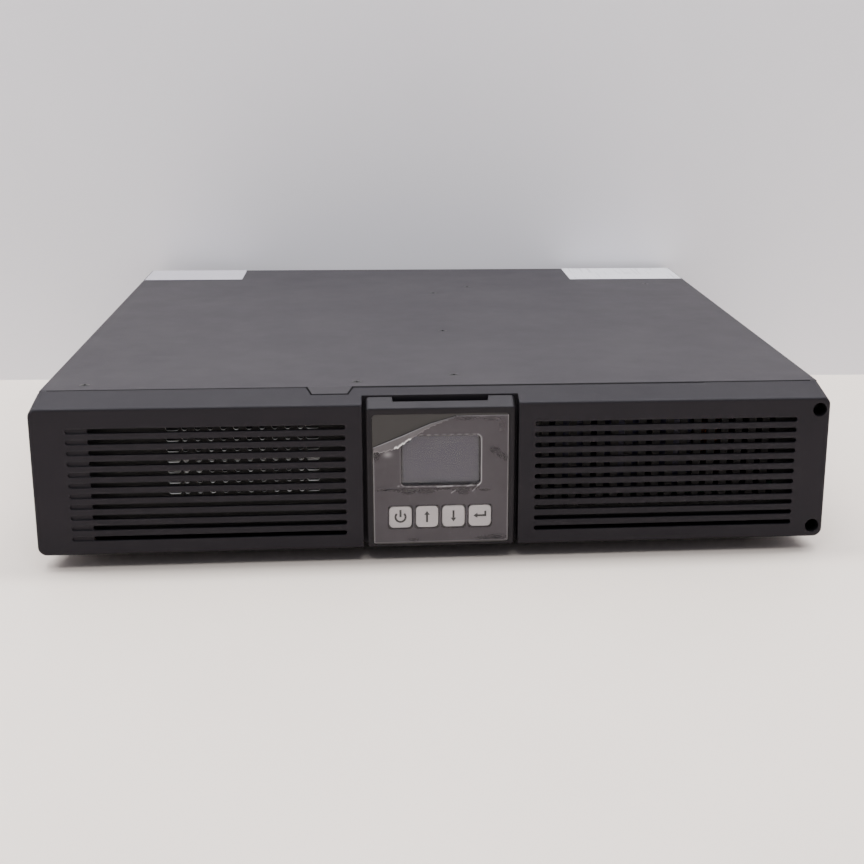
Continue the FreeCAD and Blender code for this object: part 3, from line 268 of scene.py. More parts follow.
# finishes of the case, bezel and fittings
finishes = {
    "casePaint": {
        "colour": (0.0215, 0.0190, 0.0235), "second": (0.0235, 0.0208, 0.0255), "rough": 0.70, "grain": 0.5,
        "grainScale": 0.8, "rubAndHighlight": 0.25, "rubAndHighlightColour": (0.11, 0.11, 0.115), "dust": 0.03, "specular": 0.29,
    },
    "bezelPlastic": {
        "colour": (0.0074, 0.0066, 0.0086), "second": (0.0086, 0.0078, 0.0100), "rough": 0.58,
        "grain": 0.35,
        "rubAndHighlight": 0.35, "rubAndHighlightColour": (0.06, 0.06, 0.065), "dust": 0.02, "edgeRadius": 0.0007, "specular": 0.25,
        "tint": (0.93, 0.90, 1.0),
    },
    "modulePlastic": {
        "colour": (0.0058, 0.0053, 0.0065), "second": (0.0070, 0.0064, 0.0078), "rough": 0.52, "grain": 0.3,
        "rubAndHighlight": 0.35, "rubAndHighlightColour": (0.07, 0.07, 0.075), "dust": 0.01, "edgeRadius": 0.0006, "specular": 0.25,
        "tint": (0.95, 0.92, 1.0),
    },
    "keyPlastic": {
        "colour": (0.46, 0.435, 0.445), "second": (0.50, 0.475, 0.485), "rough": 0.5, "grain": 0.25,
        "grainScale": 0.6, "dust": 0.04,
    },
    "zincSheet": {
        "colour": (0.50, 0.51, 0.52), "second": (0.66, 0.67, 0.68), "rough": 0.38, "metallic": 1.0,
        "grain": 0.15, "grainScale": 0.3, "dust": 0.1,
    },
    "zincScrew": {
        "colour": (0.55, 0.55, 0.54), "second": (0.70, 0.69, 0.66), "rough": 0.3, "metallic": 1.0,
        "grain": 0.1,
    },
    "blackScrew": {
        "colour": (0.012, 0.012, 0.013), "second": (0.02, 0.02, 0.02), "rough": 0.5,
        "metallic": 0.2, "grain": 0.15, "rubAndHighlight": 0.15, "rubAndHighlightColour": (0.12, 0.12, 0.12), "specular": 0.25,
    },
    "padRubber": {
        "colour": (0.018, 0.018, 0.018), "second": (0.03, 0.03, 0.03), "rough": 0.8, "grain": 0.5,
        "dust": 0.3,
    },
    "socketNylon": {
        "colour": (0.014, 0.014, 0.015), "second": (0.02, 0.02, 0.021), "rough": 0.42, "grain": 0.25,
        "rubAndHighlight": 0.25, "rubAndHighlightColour": (0.08, 0.08, 0.08), "dust": 0.08,
    },
    "greyNylon": {
        "colour": (0.16, 0.16, 0.17), "second": (0.20, 0.20, 0.21), "rough": 0.45, "grain": 0.25,
        "dust": 0.1,
    },
    "platedPin": {
        "colour": (0.72, 0.66, 0.48), "second": (0.80, 0.76, 0.62), "rough": 0.25, "metallic": 1.0,
        "grain": 0.08,
    },
    "platedShell": {
        "colour": (0.60, 0.60, 0.58), "second": (0.72, 0.72, 0.70), "rough": 0.3, "metallic": 1.0,
        "grain": 0.1,
    },
    "guardWire": {
        "colour": (0.62, 0.62, 0.62), "second": (0.75, 0.75, 0.75), "rough": 0.2, "metallic": 1.0,
        "grain": 0.05,
        "dust": 0.1,
    },
    "greenTerminal": {
        "colour": (0.03, 0.22, 0.07), "second": (0.04, 0.28, 0.09), "rough": 0.4, "grain": 0.2,
    },
    "fanPlastic": {
        "colour": (0.015, 0.015, 0.016), "second": (0.022, 0.022, 0.023), "rough": 0.45, "grain": 0.2,
        "dust": 0.35,
    },
    "batteryCase": {
        "colour": (0.05, 0.05, 0.055), "second": (0.07, 0.07, 0.075), "rough": 0.5, "grain": 0.3,
        "dust": 0.1,
    },
    "redWire": {
        "colour": (0.42, 0.02, 0.02), "second": (0.50, 0.03, 0.03), "rough": 0.35, "grain": 0.1,
    },
    "blackWire": {
        "colour": (0.014, 0.014, 0.014), "second": (0.02, 0.02, 0.02), "rough": 0.35, "grain": 0.1,
    },
    "sinkAluminium": {
        "colour": (0.66, 0.66, 0.67), "second": (0.76, 0.76, 0.77), "rough": 0.35, "metallic": 1.0,
        "grain": 0.2,
        "dust": 0.15,
    },
    "ferrite": {
        "colour": (0.04, 0.04, 0.042), "second": (0.06, 0.06, 0.062), "rough": 0.6, "grain": 0.5,
    },
    "relayCase": {
        "colour": (0.02, 0.04, 0.14), "second": (0.03, 0.05, 0.17), "rough": 0.35, "grain": 0.1,
        "dust": 0.1,
    },
    "canSleeve": {
        "colour": (0.03, 0.03, 0.07), "second": (0.04, 0.04, 0.09), "rough": 0.25, "grain": 0.05,
        "dust": 0.1,
    },
    "ribbonSheath": {
        "colour": (0.36, 0.36, 0.38), "second": (0.44, 0.44, 0.46), "rough": 0.4, "grain": 0.1,
    },
    "seamShadow": {
        "colour": (0.0025, 0.0023, 0.0028), "second": (0.004, 0.0036, 0.0044), "rough": 0.8, "grain": 0.2,
        "specular": 0.1,
    },
    "glyphInk": {
        "colour": (0.012, 0.012, 0.013), "second": (0.02, 0.02, 0.022), "rough": 0.5, "grain": 0.1,
    },
}
nodeFinishes = {
    "casePaint": ["top_cover", "base_tray", "rear_panel", "slot_cover"],
    "bezelPlastic": ["front_bezel"],
    "modulePlastic": ["module_housing", "module_back_cover"],
    "keyPlastic": ["key_power", "key_up", "key_down", "key_enter"],
    "zincSheet": ["battery_divider", "cross_brace", "battery_tray"],
    "zincScrew": ["battery_cover_screws", "board_standoffs", "slot_cover_screws", "ground_screw"],
    "blackScrew": ["case_screws", "bezel_screws", "fan_screws"],
    "padRubber": ["feet"],
    "socketNylon": [
        "inlet_socket", "outlet_bank_upper", "outlet_bank_lower", "breaker_body", "breaker_button",
        "key_switches",
    ],
    "greyNylon": ["battery_connector", "battery_plug"],
    "platedPin": ["inlet_pins"],
    "platedShell": ["usb_port", "serial_port"],
    "guardWire": ["fan_guard"],
    "greenTerminal": ["epo_terminal"],
    "fanPlastic": ["fan_frame", "fan_rotor"],
    "batteryCase": ["battery_1", "battery_2", "battery_3"],
    "redWire": ["battery_lead_red"],
    "blackWire": ["battery_lead_black", "battery_jumpers"],
    "sinkAluminium": ["heat_sinks"],
    "ferrite": ["transformer"],
    "relayCase": ["relays"],
    "canSleeve": ["capacitors"],
}


def dressNode(node, material):
    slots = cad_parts[node].material_slots
    for slot in slots:
        slot.material = material
    if not slots:
        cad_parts[node].data.materials.append(material)


def dressCoatedNodes():
    made = {}
    for name, look in finishes.items():
        made[name] = coatedFinish(name, look)
        for node in nodeFinishes.get(name, []):
            dressNode(node, made[name])
    return made


coated = dressCoatedNodes()
print("coated finishes set")


# painted inner plates with bare cut edges
innerPlate = {
    "paint": (0.0025, 0.0025, 0.0030),
    "worn": (0.004, 0.004, 0.005),
    "bare": (0.85, 0.85, 0.84),
    "rough": 0.6,
    "bareRough": 0.35,
    "glint": 0.42,        # strength of the painted glint on the lower lips of the holes
}


def innerPlateFinish(name, bare):
    # black paint on the sheet's faces, another tone where holes were punched
    material, tree, shader = newMaterial(name)
    grain = addGroup(tree, "grain", Scale=1.0)
    flat = addNode(tree, "ShaderNodeNewGeometry")
    split = addNode(tree, "ShaderNodeSeparateXYZ")
    tree.links.new(flat.outputs["True Normal"], split.inputs[0])
    facing = mathOf(tree, "ABSOLUTE", split.outputs["Y"])
    edge = rangeOf(tree, facing, 0.3, 0.5, 1.0, 0.0)
    paint = blendColour(tree, grain.outputs["Mottle"], innerPlate["paint"], innerPlate["worn"])
    tree.links.new(blendColour(tree, edge, paint, bare), shader.inputs["Base Color"])
    rough = rangeOf(tree, edge, 0.0, 1.0, innerPlate["rough"], innerPlate["bareRough"])
    tree.links.new(rough, shader.inputs["Roughness"])
    if bare == innerPlate["bare"]:
        # painted glint: the lower lip of each hole gives off light to stand for the light it catches
        lip = rangeOf(tree, split.outputs["Z"], 0.80, 0.95, 0.0, 1.0)
        patchy = rangeOf(tree, noiseOf(tree, objectCoords(tree), 90.0, 2.0), 0.40, 0.62, 0.15, 1.0)
        glow = mathOf(tree, "MULTIPLY", mathOf(tree, "MULTIPLY", lip, edge), patchy)
        lit = blendColour(tree, glow, (0.0, 0.0, 0.0), innerPlate["bare"])
        tree.links.new(lit, shader.inputs["Emission Color"])
        shader.inputs["Emission Strength"].default_value = innerPlate["glint"]
    tree.links.new(bumpOf(tree, grain.outputs["Height"], 0.3, 0.0001), shader.inputs["Normal"])
    return material


dressNode("battery_cover", innerPlateFinish("batteryPlate", innerPlate["bare"]))
dressNode("front_wall", innerPlateFinish("intakePlate", innerPlate["paint"]))


# display face: overlay, window, panel
overlay = {
    "colour": (0.0065, 0.0062, 0.0070),
    "smeared": (0.012, 0.012, 0.013),
    "rough": 0.30,
    "smear": 0.10,        # how much rougher a smear is
}


def overlayFinish():
    # glossy printed sheet with faint smears of handling
    material, tree, shader = newMaterial("overlayGloss")
    coords = objectCoords(tree)
    smear = rangeOf(tree, noiseOf(tree, coords, 60.0, 5.0, 0.7, (1.0, 1.0, 2.5)), 0.45, 0.75, 0.0, 1.0)
    colour = blendColour(tree, mathOf(tree, "MULTIPLY", smear, 0.4), overlay["colour"], overlay["smeared"])
    tree.links.new(colour, shader.inputs["Base Color"])
    rough = rangeOf(tree, smear, 0.0, 1.0, overlay["rough"], overlay["rough"] + overlay["smear"])
    tree.links.new(rough, shader.inputs["Roughness"])
    tree.links.new(bumpOf(tree, smear, 0.05, 0.0001, softEdges(tree, 0.0002)), shader.inputs["Normal"])
    return material


clearWindow = {"tone": (0.25, 0.26, 0.30), "rough": 0.08, "haze": (0.03, 0.12)}


def windowFinish():
    material, tree, shader = newMaterial("clearWindow")
    haze = rangeOf(tree, noiseOf(tree, objectCoords(tree), 90.0, 4.0, 0.6), 0.4, 0.8, *clearWindow["haze"])
    tree.links.new(haze, shader.inputs["Alpha"])
    shader.inputs["Base Color"].default_value = (*clearWindow["tone"], 1.0)
    shader.inputs["Roughness"].default_value = clearWindow["rough"]
    return material


panel = {
    "glass": (0.050, 0.047, 0.068),
    "cell": (0.056, 0.052, 0.076),
    "cloud": (0.044, 0.041, 0.060),
    "rim": (0.03, 0.03, 0.034),
    "half": (0.0206, 0.0134),
    "middle": 0.0508 + raised,
    "rough": 0.18,
}


def panelFinish():
    # unlit display: bluish field inside a dark rim, with the faint grid of its cells
    material, tree, shader = newMaterial("unlitPanel")
    coords = objectCoords(tree)
    split = addNode(tree, "ShaderNodeSeparateXYZ")
    tree.links.new(coords, split.inputs[0])
    low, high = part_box("lcd_panel")
    across = mathOf(tree, "ABSOLUTE", mathOf(tree, "SUBTRACT", split.outputs["X"], (low[0] + high[0]) / 2))
    upDown = mathOf(tree, "ABSOLUTE", mathOf(tree, "SUBTRACT", split.outputs["Z"], panel["middle"]))
    outX = mathOf(tree, "SUBTRACT", across, panel["half"][0])
    outZ = mathOf(tree, "SUBTRACT", upDown, panel["half"][1])
    rim = rangeOf(tree, mathOf(tree, "MAXIMUM", outX, outZ), -0.0003, 0.0005, 0.0, 1.0)
    cells = addNode(tree, "ShaderNodeTexChecker", Scale=2200.0)
    tree.links.new(coords, cells.inputs["Vector"])
    faint = mathOf(tree, "MULTIPLY", cells.outputs["Fac"], 0.15)
    field = blendColour(tree, faint, panel["glass"], panel["cell"])
    cloud = rangeOf(tree, noiseOf(tree, coords, 40.0, 2.0), 0.35, 0.65, 0.0, 0.3)
    field = blendColour(tree, cloud, field, panel["cloud"])
    tree.links.new(blendColour(tree, rim, field, panel["rim"]), shader.inputs["Base Color"])
    shader.inputs["Roughness"].default_value = panel["rough"]
    return material


dressNode("face_plate", overlayFinish())
dressNode("display_window", windowFinish())
dressNode("lcd_panel", panelFinish())


# boards, coils and labels
def boardFinish():
    # green lacquer over copper tracks
    material, tree, shader = newMaterial("boardLacquer")
    coords = objectCoords(tree)
    tracks = addNode(tree, "ShaderNodeTexBrick", Scale=160.0, Mortar_Size=0.06, Bias=0.0)
    tree.links.new(coords, tracks.inputs["Vector"])
    colour = blendColour(tree, tracks.outputs["Fac"], (0.010, 0.060, 0.028), (0.02, 0.11, 0.05))
    pads = rangeOf(tree, noiseOf(tree, coords, 700.0, 0.0), 0.68, 0.72, 0.0, 1.0)
    tree.links.new(blendColour(tree, pads, colour, (0.55, 0.55, 0.52)), shader.inputs["Base Color"])
    shader.inputs["Roughness"].default_value = 0.3
    tree.links.new(bumpOf(tree, tracks.outputs["Fac"], 0.3, 0.0001), shader.inputs["Normal"])
    return material


def coilFinish():
    # enamelled copper wire laid round the ring
    material, tree, shader = newMaterial("coilWire")
    coords = objectCoords(tree)
    turns = addNode(tree, "ShaderNodeTexWave", Scale=160.0, Distortion=1.2)
    tree.links.new(coords, turns.inputs["Vector"])
    colour = blendColour(tree, turns.outputs["Fac"], (0.16, 0.05, 0.015), (0.45, 0.17, 0.05))
    tree.links.new(colour, shader.inputs["Base Color"])
    shader.inputs["Roughness"].default_value = 0.3
    shader.inputs["Metallic"].default_value = 0.6
    tree.links.new(bumpOf(tree, turns.outputs["Fac"], 0.6, 0.0005), shader.inputs["Normal"])
    return material


def labelFinish(name, printed):
    # paper with rows of plain dashes where a maker would print its data
    material, tree, shader = newMaterial(name)
    coords = objectCoords(tree)
    fibre = rangeOf(tree, noiseOf(tree, coords, 500.0, 5.0, 0.7), 0.3, 0.7, 0.0, 1.0)
    colour = blendColour(tree, fibre, (0.37, 0.355, 0.40), (0.43, 0.415, 0.46))
    if printed:
        colour = blendColour(tree, fibre, (0.54, 0.535, 0.57), (0.60, 0.595, 0.63))
        rows = addNode(tree, "ShaderNodeTexBrick", Scale=1.0, Mortar_Size=0.0006)
        rows.inputs["Brick Width"].default_value = 0.011
        rows.inputs["Row Height"].default_value = 0.0032
        tree.links.new(coords, rows.inputs["Vector"])
        words = rangeOf(tree, noiseOf(tree, coords, 320.0, 1.0, 0.5, (1.0, 0.05, 1.0)), 0.54, 0.58, 0.0, 1.0)
        ink = mathOf(tree, "MULTIPLY", mathOf(tree, "SUBTRACT", 1.0, rows.outputs["Fac"]), words)
        blank = rangeOf(tree, noiseOf(tree, coords, 26.0, 1.0), 0.46, 0.5, 0.0, 1.0)
        printing = mathOf(tree, "MULTIPLY", mathOf(tree, "MULTIPLY", ink, blank), 0.4)
        colour = blendColour(tree, printing, colour, (0.16, 0.16, 0.17))
    tree.links.new(colour, shader.inputs["Base Color"])
    shader.inputs["Roughness"].default_value = 0.55
    tree.links.new(bumpOf(tree, fibre, 0.1, 0.0001), shader.inputs["Normal"])
    return material


for boardNode in ("main_board", "control_board", "display_board"):
    dressNode(boardNode, boardFinish())
dressNode("inductors", coilFinish())
dressNode("label_left", labelFinish("plainLabel", False))
dressNode("label_right", labelFinish("printedLabel", True))
print("display, boards and labels dressed")


# modelling helpers
def deselectAll():
    if bpy.context.object and bpy.context.object.mode != "OBJECT":
        bpy.ops.object.mode_set(mode="OBJECT")
    bpy.ops.object.select_all(action="DESELECT")


def takeNew(name):
    piece = bpy.context.object
    piece.name = name
    return piece


def settle(piece):
    # bake place, turn and size into the mesh
    deselectAll()
    piece.select_set(True)
    bpy.context.view_layer.objects.active = piece
    bpy.ops.object.transform_apply(location=True, rotation=True, scale=True)


def applyModifiers(piece):
    deselectAll()
    piece.select_set(True)
    bpy.context.view_layer.objects.active = piece
    for modifier in list(piece.modifiers):
        bpy.ops.object.modifier_apply(modifier=modifier.name)


def joinPieces(pieces, name):
    deselectAll()
    for piece in pieces:
        piece.select_set(True)
    bpy.context.view_layer.objects.active = pieces[0]
    bpy.ops.object.join()
    return takeNew(name)


def thicken(piece, thickness, offset=0.0):
    solid = piece.modifiers.new("thick", "SOLIDIFY")
    solid.thickness = thickness
    solid.offset = offset
    applyModifiers(piece)


def coverWith(piece, material):
    piece.data.materials.clear()
    piece.data.materials.append(material)


def upright(piece):
    # a shape drawn flat on the ground is stood up to face the front
    piece.rotation_euler = (math.radians(90), 0.0, 0.0)
    settle(piece)


# key glyphs
glyph = {
    "thick": 0.00004,
    "line": 0.00115,
    "ring": 0.0028,
    "gap": 36,            # degrees left open at each side of the ring's top
    "bar": 0.0042,
    "arrow": 0.0066,
    "head": 0.0032,
    "headLong": 0.0023,
}


def drawBar(x, y, width, height):
    deselectAll()
    bpy.ops.mesh.primitive_plane_add(size=1.0, location=(x, y, 0))
    bar = bpy.context.object
    bar.scale = (width, height, 1.0)
    settle(bar)
    return bar


def drawHead(x, y, turn):
    deselectAll()
    bpy.ops.mesh.primitive_circle_add(vertices=3, radius=1.0, fill_type="NGON", location=(x, y, 0))
    head = bpy.context.object
    head.scale = (glyph["head"] / 2 / 0.866, glyph["headLong"] / 1.5, 1.0)
    settle(head)
    if turn:
        head.data.transform(
            Matrix.Translation((x, y, 0)) @ Matrix.Rotation(turn, 4, "Z") @ Matrix.Translation((-x, -y, 0))
        )
    return head


def drawBrokenRing():
    # ring open at the top
    deselectAll()
    bpy.ops.mesh.primitive_circle_add(vertices=40, radius=glyph["ring"] - glyph["line"] / 2)
    ring = bpy.context.object
    bpy.ops.object.mode_set(mode="EDIT")
    bpy.ops.mesh.select_all(action="SELECT")
    bpy.ops.mesh.extrude_edges_move()
    outer = (glyph["ring"] + glyph["line"] / 2) / (glyph["ring"] - glyph["line"] / 2)
    bpy.ops.transform.resize(value=(outer, outer, 1.0))
    bpy.ops.mesh.select_all(action="DESELECT")
    bpy.ops.object.mode_set(mode="OBJECT")
    for vertex in ring.data.vertices:
        vertex.select = abs(math.atan2(vertex.co.x, vertex.co.y)) < math.radians(glyph["gap"])
    bpy.ops.object.mode_set(mode="EDIT")
    bpy.ops.mesh.delete(type="VERT")
    bpy.ops.object.mode_set(mode="OBJECT")
    return ring


def powerGlyph():
    return [drawBrokenRing(), drawBar(0, glyph["bar"] / 2, glyph["line"], glyph["bar"])]


def arrowGlyph(direction):
    length = glyph["arrow"]
    shaft = drawBar(0, -direction * glyph["headLong"] / 2, glyph["line"], length - glyph["headLong"])
    tip = direction * (length / 2 - glyph["headLong"] * 0.67)
    return [shaft, drawHead(0, tip, 0.0 if direction > 0 else math.pi)]


def returnGlyph():
    length = glyph["arrow"] * 1.1
    shaft = drawBar(glyph["headLong"] / 2, 0, length - glyph["headLong"], glyph["line"])
    rise = drawBar(length / 2 - glyph["line"] / 2, glyph["line"] * 1.1, glyph["line"], glyph["line"] * 2.4)
    return [shaft, rise, drawHead(-length / 2 + glyph["headLong"] * 0.67, 0, math.pi / 2)]


def placeGlyph(parts, name, keyNode):
    piece = joinPieces(parts, name)
    thicken(piece, glyph["thick"], 1.0)
    upright(piece)
    low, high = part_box(keyNode)
    piece.location = ((low[0] + high[0]) / 2, low[1] - glyph["thick"] * 0.1, (low[2] + high[2]) / 2)
    settle(piece)
    coverWith(piece, coated["glyphInk"])
    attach(piece, keyNode)


placeGlyph(powerGlyph(), "glyphPower", "key_power")
placeGlyph(arrowGlyph(1), "glyphUp", "key_up")
placeGlyph(arrowGlyph(-1), "glyphDown", "key_down")
placeGlyph(returnGlyph(), "glyphReturn", "key_enter")
print("key glyphs made")


# painted shadow: a thin dark strip laid over the joint between the lid and the bezel's sloping top, and round
# the lid's small tab, stands for the shade in that gap
seam = {
    "back": 0.019,        # bezel face to the lid's front edge
    "slope": 0.276,       # angle of the bezel's top
    "high": 0.00007,
    "thick": 0.00005,
    # from x, forward, to x, forward, width: the long edge, then round the lid's small tab
    "lines": [
        (-0.2120, 0.0003, -0.0725, 0.0003, 0.0005), (-0.0480, 0.0006, 0.1500, 0.0006, 0.0013),
        (0.1500, 0.0004, 0.2120, 0.0004, 0.0008), (-0.0731, 0.0002, -0.0701, 0.0080, 0.0011),
        (-0.0475, 0.0002, -0.0505, 0.0080, 0.0011), (-0.0703, 0.0081, -0.0503, 0.0081, 0.0009),
    ],
}


def drawLine(x0, ahead0, x1, ahead1, width):
    deselectAll()
    length = math.hypot(x1 - x0, ahead1 - ahead0)
    bpy.ops.mesh.primitive_plane_add(
        size=1.0,
        location=((x0 + x1) / 2, -(ahead0 + ahead1) / 2, 0),
        rotation=(0, 0, math.atan2(ahead0 - ahead1, x1 - x0)),
    )
    line = bpy.context.object
    line.scale = (length + width * 0.5, width, 1.0)
    settle(line)
    return line


def makeSeam():
    piece = joinPieces([drawLine(*line) for line in seam["lines"]], "seamShadowStrip")
    thicken(piece, seam["thick"], -1.0)
    low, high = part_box("front_bezel")
    piece.rotation_euler = (seam["slope"], 0, 0)
    piece.location = (0, low[1] + seam["back"], high[2] + seam["high"])
    settle(piece)
    coverWith(piece, coated["seamShadow"])
    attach(piece, "chassis")


makeSeam()
print("lid joint made")


# protective film, partly peeled
film = {
    "cut": [(-0.0377, 0.0586), (-0.0225, 0.0648), (-0.0062, 0.0718), (0.0085, 0.0759), (0.0366, 0.0760)],
    "foldLow": [(-0.0377, 0.0562), (-0.0334, 0.0556), (-0.0246, 0.0578), (-0.0185, 0.0622),
                (-0.0112, 0.0670), (-0.0051, 0.0705), (0.0085, 0.0757)],
    "low": 0.0030,
    "gap": 0.00012,
    "lift": 0.00050,
    "liftReach": 0.0040,
    "windowHalf": (0.0223, 0.0148),
    "windowMiddle": (-0.0006, 0.0505),
    "windowCorner": 0.003,
    "keyCorner": 0.0018,
    "haze": 0.93,
    "clear": 0.04,
    "foldHaze": 0.85,
    "ridge": 0.00012,
    "ridgeWidth": 0.0006,
    "openEnd": 0.008,     # right of here the sheet lies flat
    "openReach": 0.012,
    "wave": 0.00003,
    "thick": 0.00006,
    "columns": 170,
    "rows": 170,
    "foldColumns": 150,
    "foldRows": 18,
    "foldLift": 0.00032,
    "foldRoll": 0.2,      # share of the fold's width that rolls over
    "milk": (0.066, 0.060, 0.068),
    "foldMilk": (0.135, 0.128, 0.137),
    "scuff": (0.20, 0.19, 0.20),
    "highlightColour": (0.80, 0.80, 0.82),
    "rough": 0.3,
    "specular": 0.2,
}
# middle x, middle z, reach in x, reach in z, strength
darkPatchSpots = [
    (0.0290, 0.0560, 0.0022, 0.0016, 0.8), (0.0325, 0.0530, 0.0018, 0.0012, 0.9),
    (0.0352, 0.0512, 0.0012, 0.0012, 0.8), (0.0300, 0.0050, 0.0050, 0.0013, 0.8),
    (0.0215, 0.0046, 0.0030, 0.0008, 0.6), (-0.0364, 0.0545, 0.0018, 0.0026, 1.0),
    (-0.0345, 0.0565, 0.0020, 0.0012, 0.8), (0.0130, 0.0745, 0.0050, 0.0010, 0.6),
    (0.0270, 0.0742, 0.0040, 0.0011, 0.5), (0.0330, 0.0700, 0.0020, 0.0030, 0.4),
    (-0.0150, 0.0337, 0.0080, 0.0011, 0.9), (-0.0190, 0.0325, 0.0030, 0.0010, 0.7),
    (-0.0080, 0.0322, 0.0030, 0.0007, 0.6), (0.0020, 0.0343, 0.0055, 0.0006, 0.8),
    (0.0085, 0.0335, 0.0022, 0.0010, 0.9), (0.0130, 0.0340, 0.0020, 0.0013, 0.9),
    (0.0185, 0.0345, 0.0016, 0.0010, 0.8), (0.0240, 0.0330, 0.0024, 0.0006, 0.8),
    (0.0120, 0.0315, 0.0025, 0.0008, 0.6), (-0.0300, 0.0340, 0.0050, 0.0004, 0.8),
    (0.0060, 0.0372, 0.0100, 0.0007, 0.4), (-0.0120, 0.0374, 0.0070, 0.0006, 0.4),
    (-0.0080, 0.0122, 0.0012, 0.0006, 0.8), (-0.0160, 0.0046, 0.0030, 0.0009, 0.4),
]


def heightOn(points, x):
    for (x0, z0), (x1, z1) in zip(points, points[1:]):
        if x <= x1:
            share = (x - x0) / (x1 - x0)
            return z0 + (z1 - z0) * share
    return points[-1][1]


def cutHeight(x):
    return heightOn(film["cut"], x)


def windowDistance(x, z):
    # signed distance to the rounded outline of the display window
    dx = abs(x - film["windowMiddle"][0]) - film["windowHalf"][0] + film["windowCorner"]
    dz = abs(z - film["windowMiddle"][1]) - film["windowHalf"][1] + film["windowCorner"]
    outside = math.hypot(max(dx, 0), max(dz, 0))
    return outside + min(max(dx, dz), 0) - film["windowCorner"]


def darkPatchAt(x, z):
    # patches where the sheet is made clearer, so the black face shows darker through it; the two patches at
    # the left end just below the fold are a painted shadow of the fold
    wobble = 0.35 * math.sin(x * 2900 + z * 1700) + 0.25 * math.sin(x * 1300 - z * 4100)
    total = 0.0
    for middleX, middleZ, reachX, reachZ, strength in darkPatchSpots:
        away = ((x - middleX) / reachX) ** 2 + ((z - middleZ) / reachZ) ** 2
        total += strength * math.exp(-away * (1.0 + wobble * 0.6))
    return min(total, 1.0)


def crease(x, z):
    # crumpled line that runs under the window
    line = 0.0342 + 0.0006 * math.sin(x * 330) + 0.0004 * math.sin(x * 910 + 0.7)
    near = math.exp(-(((z - line) / 0.0007) ** 2))
    return 0.00016 * near if -0.036 < x < 0.028 else 0.0


def filmRise(x, z):
    below = cutHeight(x) - z
    openEnd = min(max((film["openEnd"] - x) / film["openReach"], 0.0), 1.0)
    lifted = film["lift"] * openEnd * math.exp(-max(below, 0) / film["liftReach"])
    ridge = film["ridge"] * math.exp(-((windowDistance(x, z) / film["ridgeWidth"]) ** 2))
    wave = film["wave"] * (1 + math.sin(x * 190 + z * 60) * math.sin(z * 150 - x * 40 + 1.3))
    return film["gap"] + lifted + ridge + wave + crease(x, z)


def filmFinish(name, tint):
    # milky sheet over the black face: darker in the listed patches, two of them a painted shadow below the
    # fold; painted highlights along rims, folds and creases
    material, tree, shader = newMaterial(name)
    coords = objectCoords(tree)
    cloudy = rangeOf(tree, noiseOf(tree, coords, 45.0, 5.0, 0.65), 0.3, 0.7, 0.0, 1.0)
    scuffs = rangeOf(tree, noiseOf(tree, coords, 220.0, 6.0, 0.75, (1.0, 1.0, 0.5)), 0.60, 0.75, 0.0, 0.16)
    thin, dense = (tuple(share * part for part in tint) for share in (0.88, 1.12))
    milky = blendColour(tree, cloudy, thin, dense)
    milky = blendColour(tree, scuffs, milky, film["scuff"])
    darkPatch = addNode(tree, "ShaderNodeAttribute", attribute_name="darkPatch").outputs["Fac"]
    rim = addNode(tree, "ShaderNodeAttribute", attribute_name="rim").outputs["Fac"]
    haze = addNode(tree, "ShaderNodeAttribute", attribute_name="haze").outputs["Fac"]
    # the listed patches make the sheet clearer and so darker; below the fold's left end this is a painted
    # shadow
    unpatched = mathOf(tree, "SUBTRACT", 1.0, mathOf(tree, "MULTIPLY", darkPatch, 0.9))
    alpha = mathOf(tree, "ADD", mathOf(tree, "MULTIPLY", haze, unpatched), mathOf(tree, "MULTIPLY", rim, 0.55))
    tree.links.new(mathOf(tree, "MINIMUM", alpha, 0.98), shader.inputs["Alpha"])
    # painted highlight: where the rim attribute is set the sheet turns light and more opaque
    tree.links.new(blendColour(tree, rim, milky, film["highlightColour"]), shader.inputs["Base Color"])
    shader.inputs["Roughness"].default_value = film["rough"]
    shader.inputs["Specular IOR Level"].default_value = film["specular"]
    tree.links.new(bumpOf(tree, noiseOf(tree, coords, 120.0, 2.0), 0.04, 0.0003), shader.inputs["Normal"])
    return material


def paintPoints(piece, name, values):
    layer = piece.data.attributes.new(name, "FLOAT", "POINT")
    layer.data.foreach_set("value", values)


def facePlace():
    # front of the printed face, and how far its middle stands from that of the shapes given here
    low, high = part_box("face_plate")
    return low[1], (low[0] + high[0]) / 2 + 0.0006


keyBoxes = [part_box(keyNode) for keyNode in ("key_power", "key_up", "key_down", "key_enter")]
faceMiddle = facePlace()[1]


def keyDistance(x, z):
    # signed distance to the nearest key's rounded outline
    nearest = 1.0
    for low, high in keyBoxes:
        dx = abs(x + faceMiddle - (low[0] + high[0]) / 2) - (high[0] - low[0]) / 2 + film["keyCorner"]
        dz = abs(z + raised - (low[2] + high[2]) / 2) - (high[2] - low[2]) / 2 + film["keyCorner"]
        away = math.hypot(max(dx, 0), max(dz, 0)) + min(max(dx, dz), 0) - film["keyCorner"]
        nearest = min(nearest, away)
    return nearest


def hazeAt(x, z):
    # milky over the black face, clear over the window and the keys
    inside = min(windowDistance(x, z) + 0.0002, keyDistance(x, z))
    share = min(max(-inside / 0.0005, 0.0), 1.0)
    return film["haze"] + (film["clear"] - film["haze"]) * share


def windowGlint(x, z):
    # where the ridge round the window catches light: right side, top right corner, broken bottom
    line = math.exp(-((windowDistance(x, z) / 0.00028) ** 2))
    right = 0.36 if x > 0.0195 else 0.0
    top = 0.18 * (0.5 + 0.5 * math.sin(x * 1500)) if z > 0.064 else 0.0
    bottom = 0.24 * (0.4 + 0.6 * math.sin(x * 800 + 0.6) ** 2) if z < 0.037 else 0.0
    left = 0.05 if x < -0.0205 else 0.0
    return line * max(right, top, bottom, left)


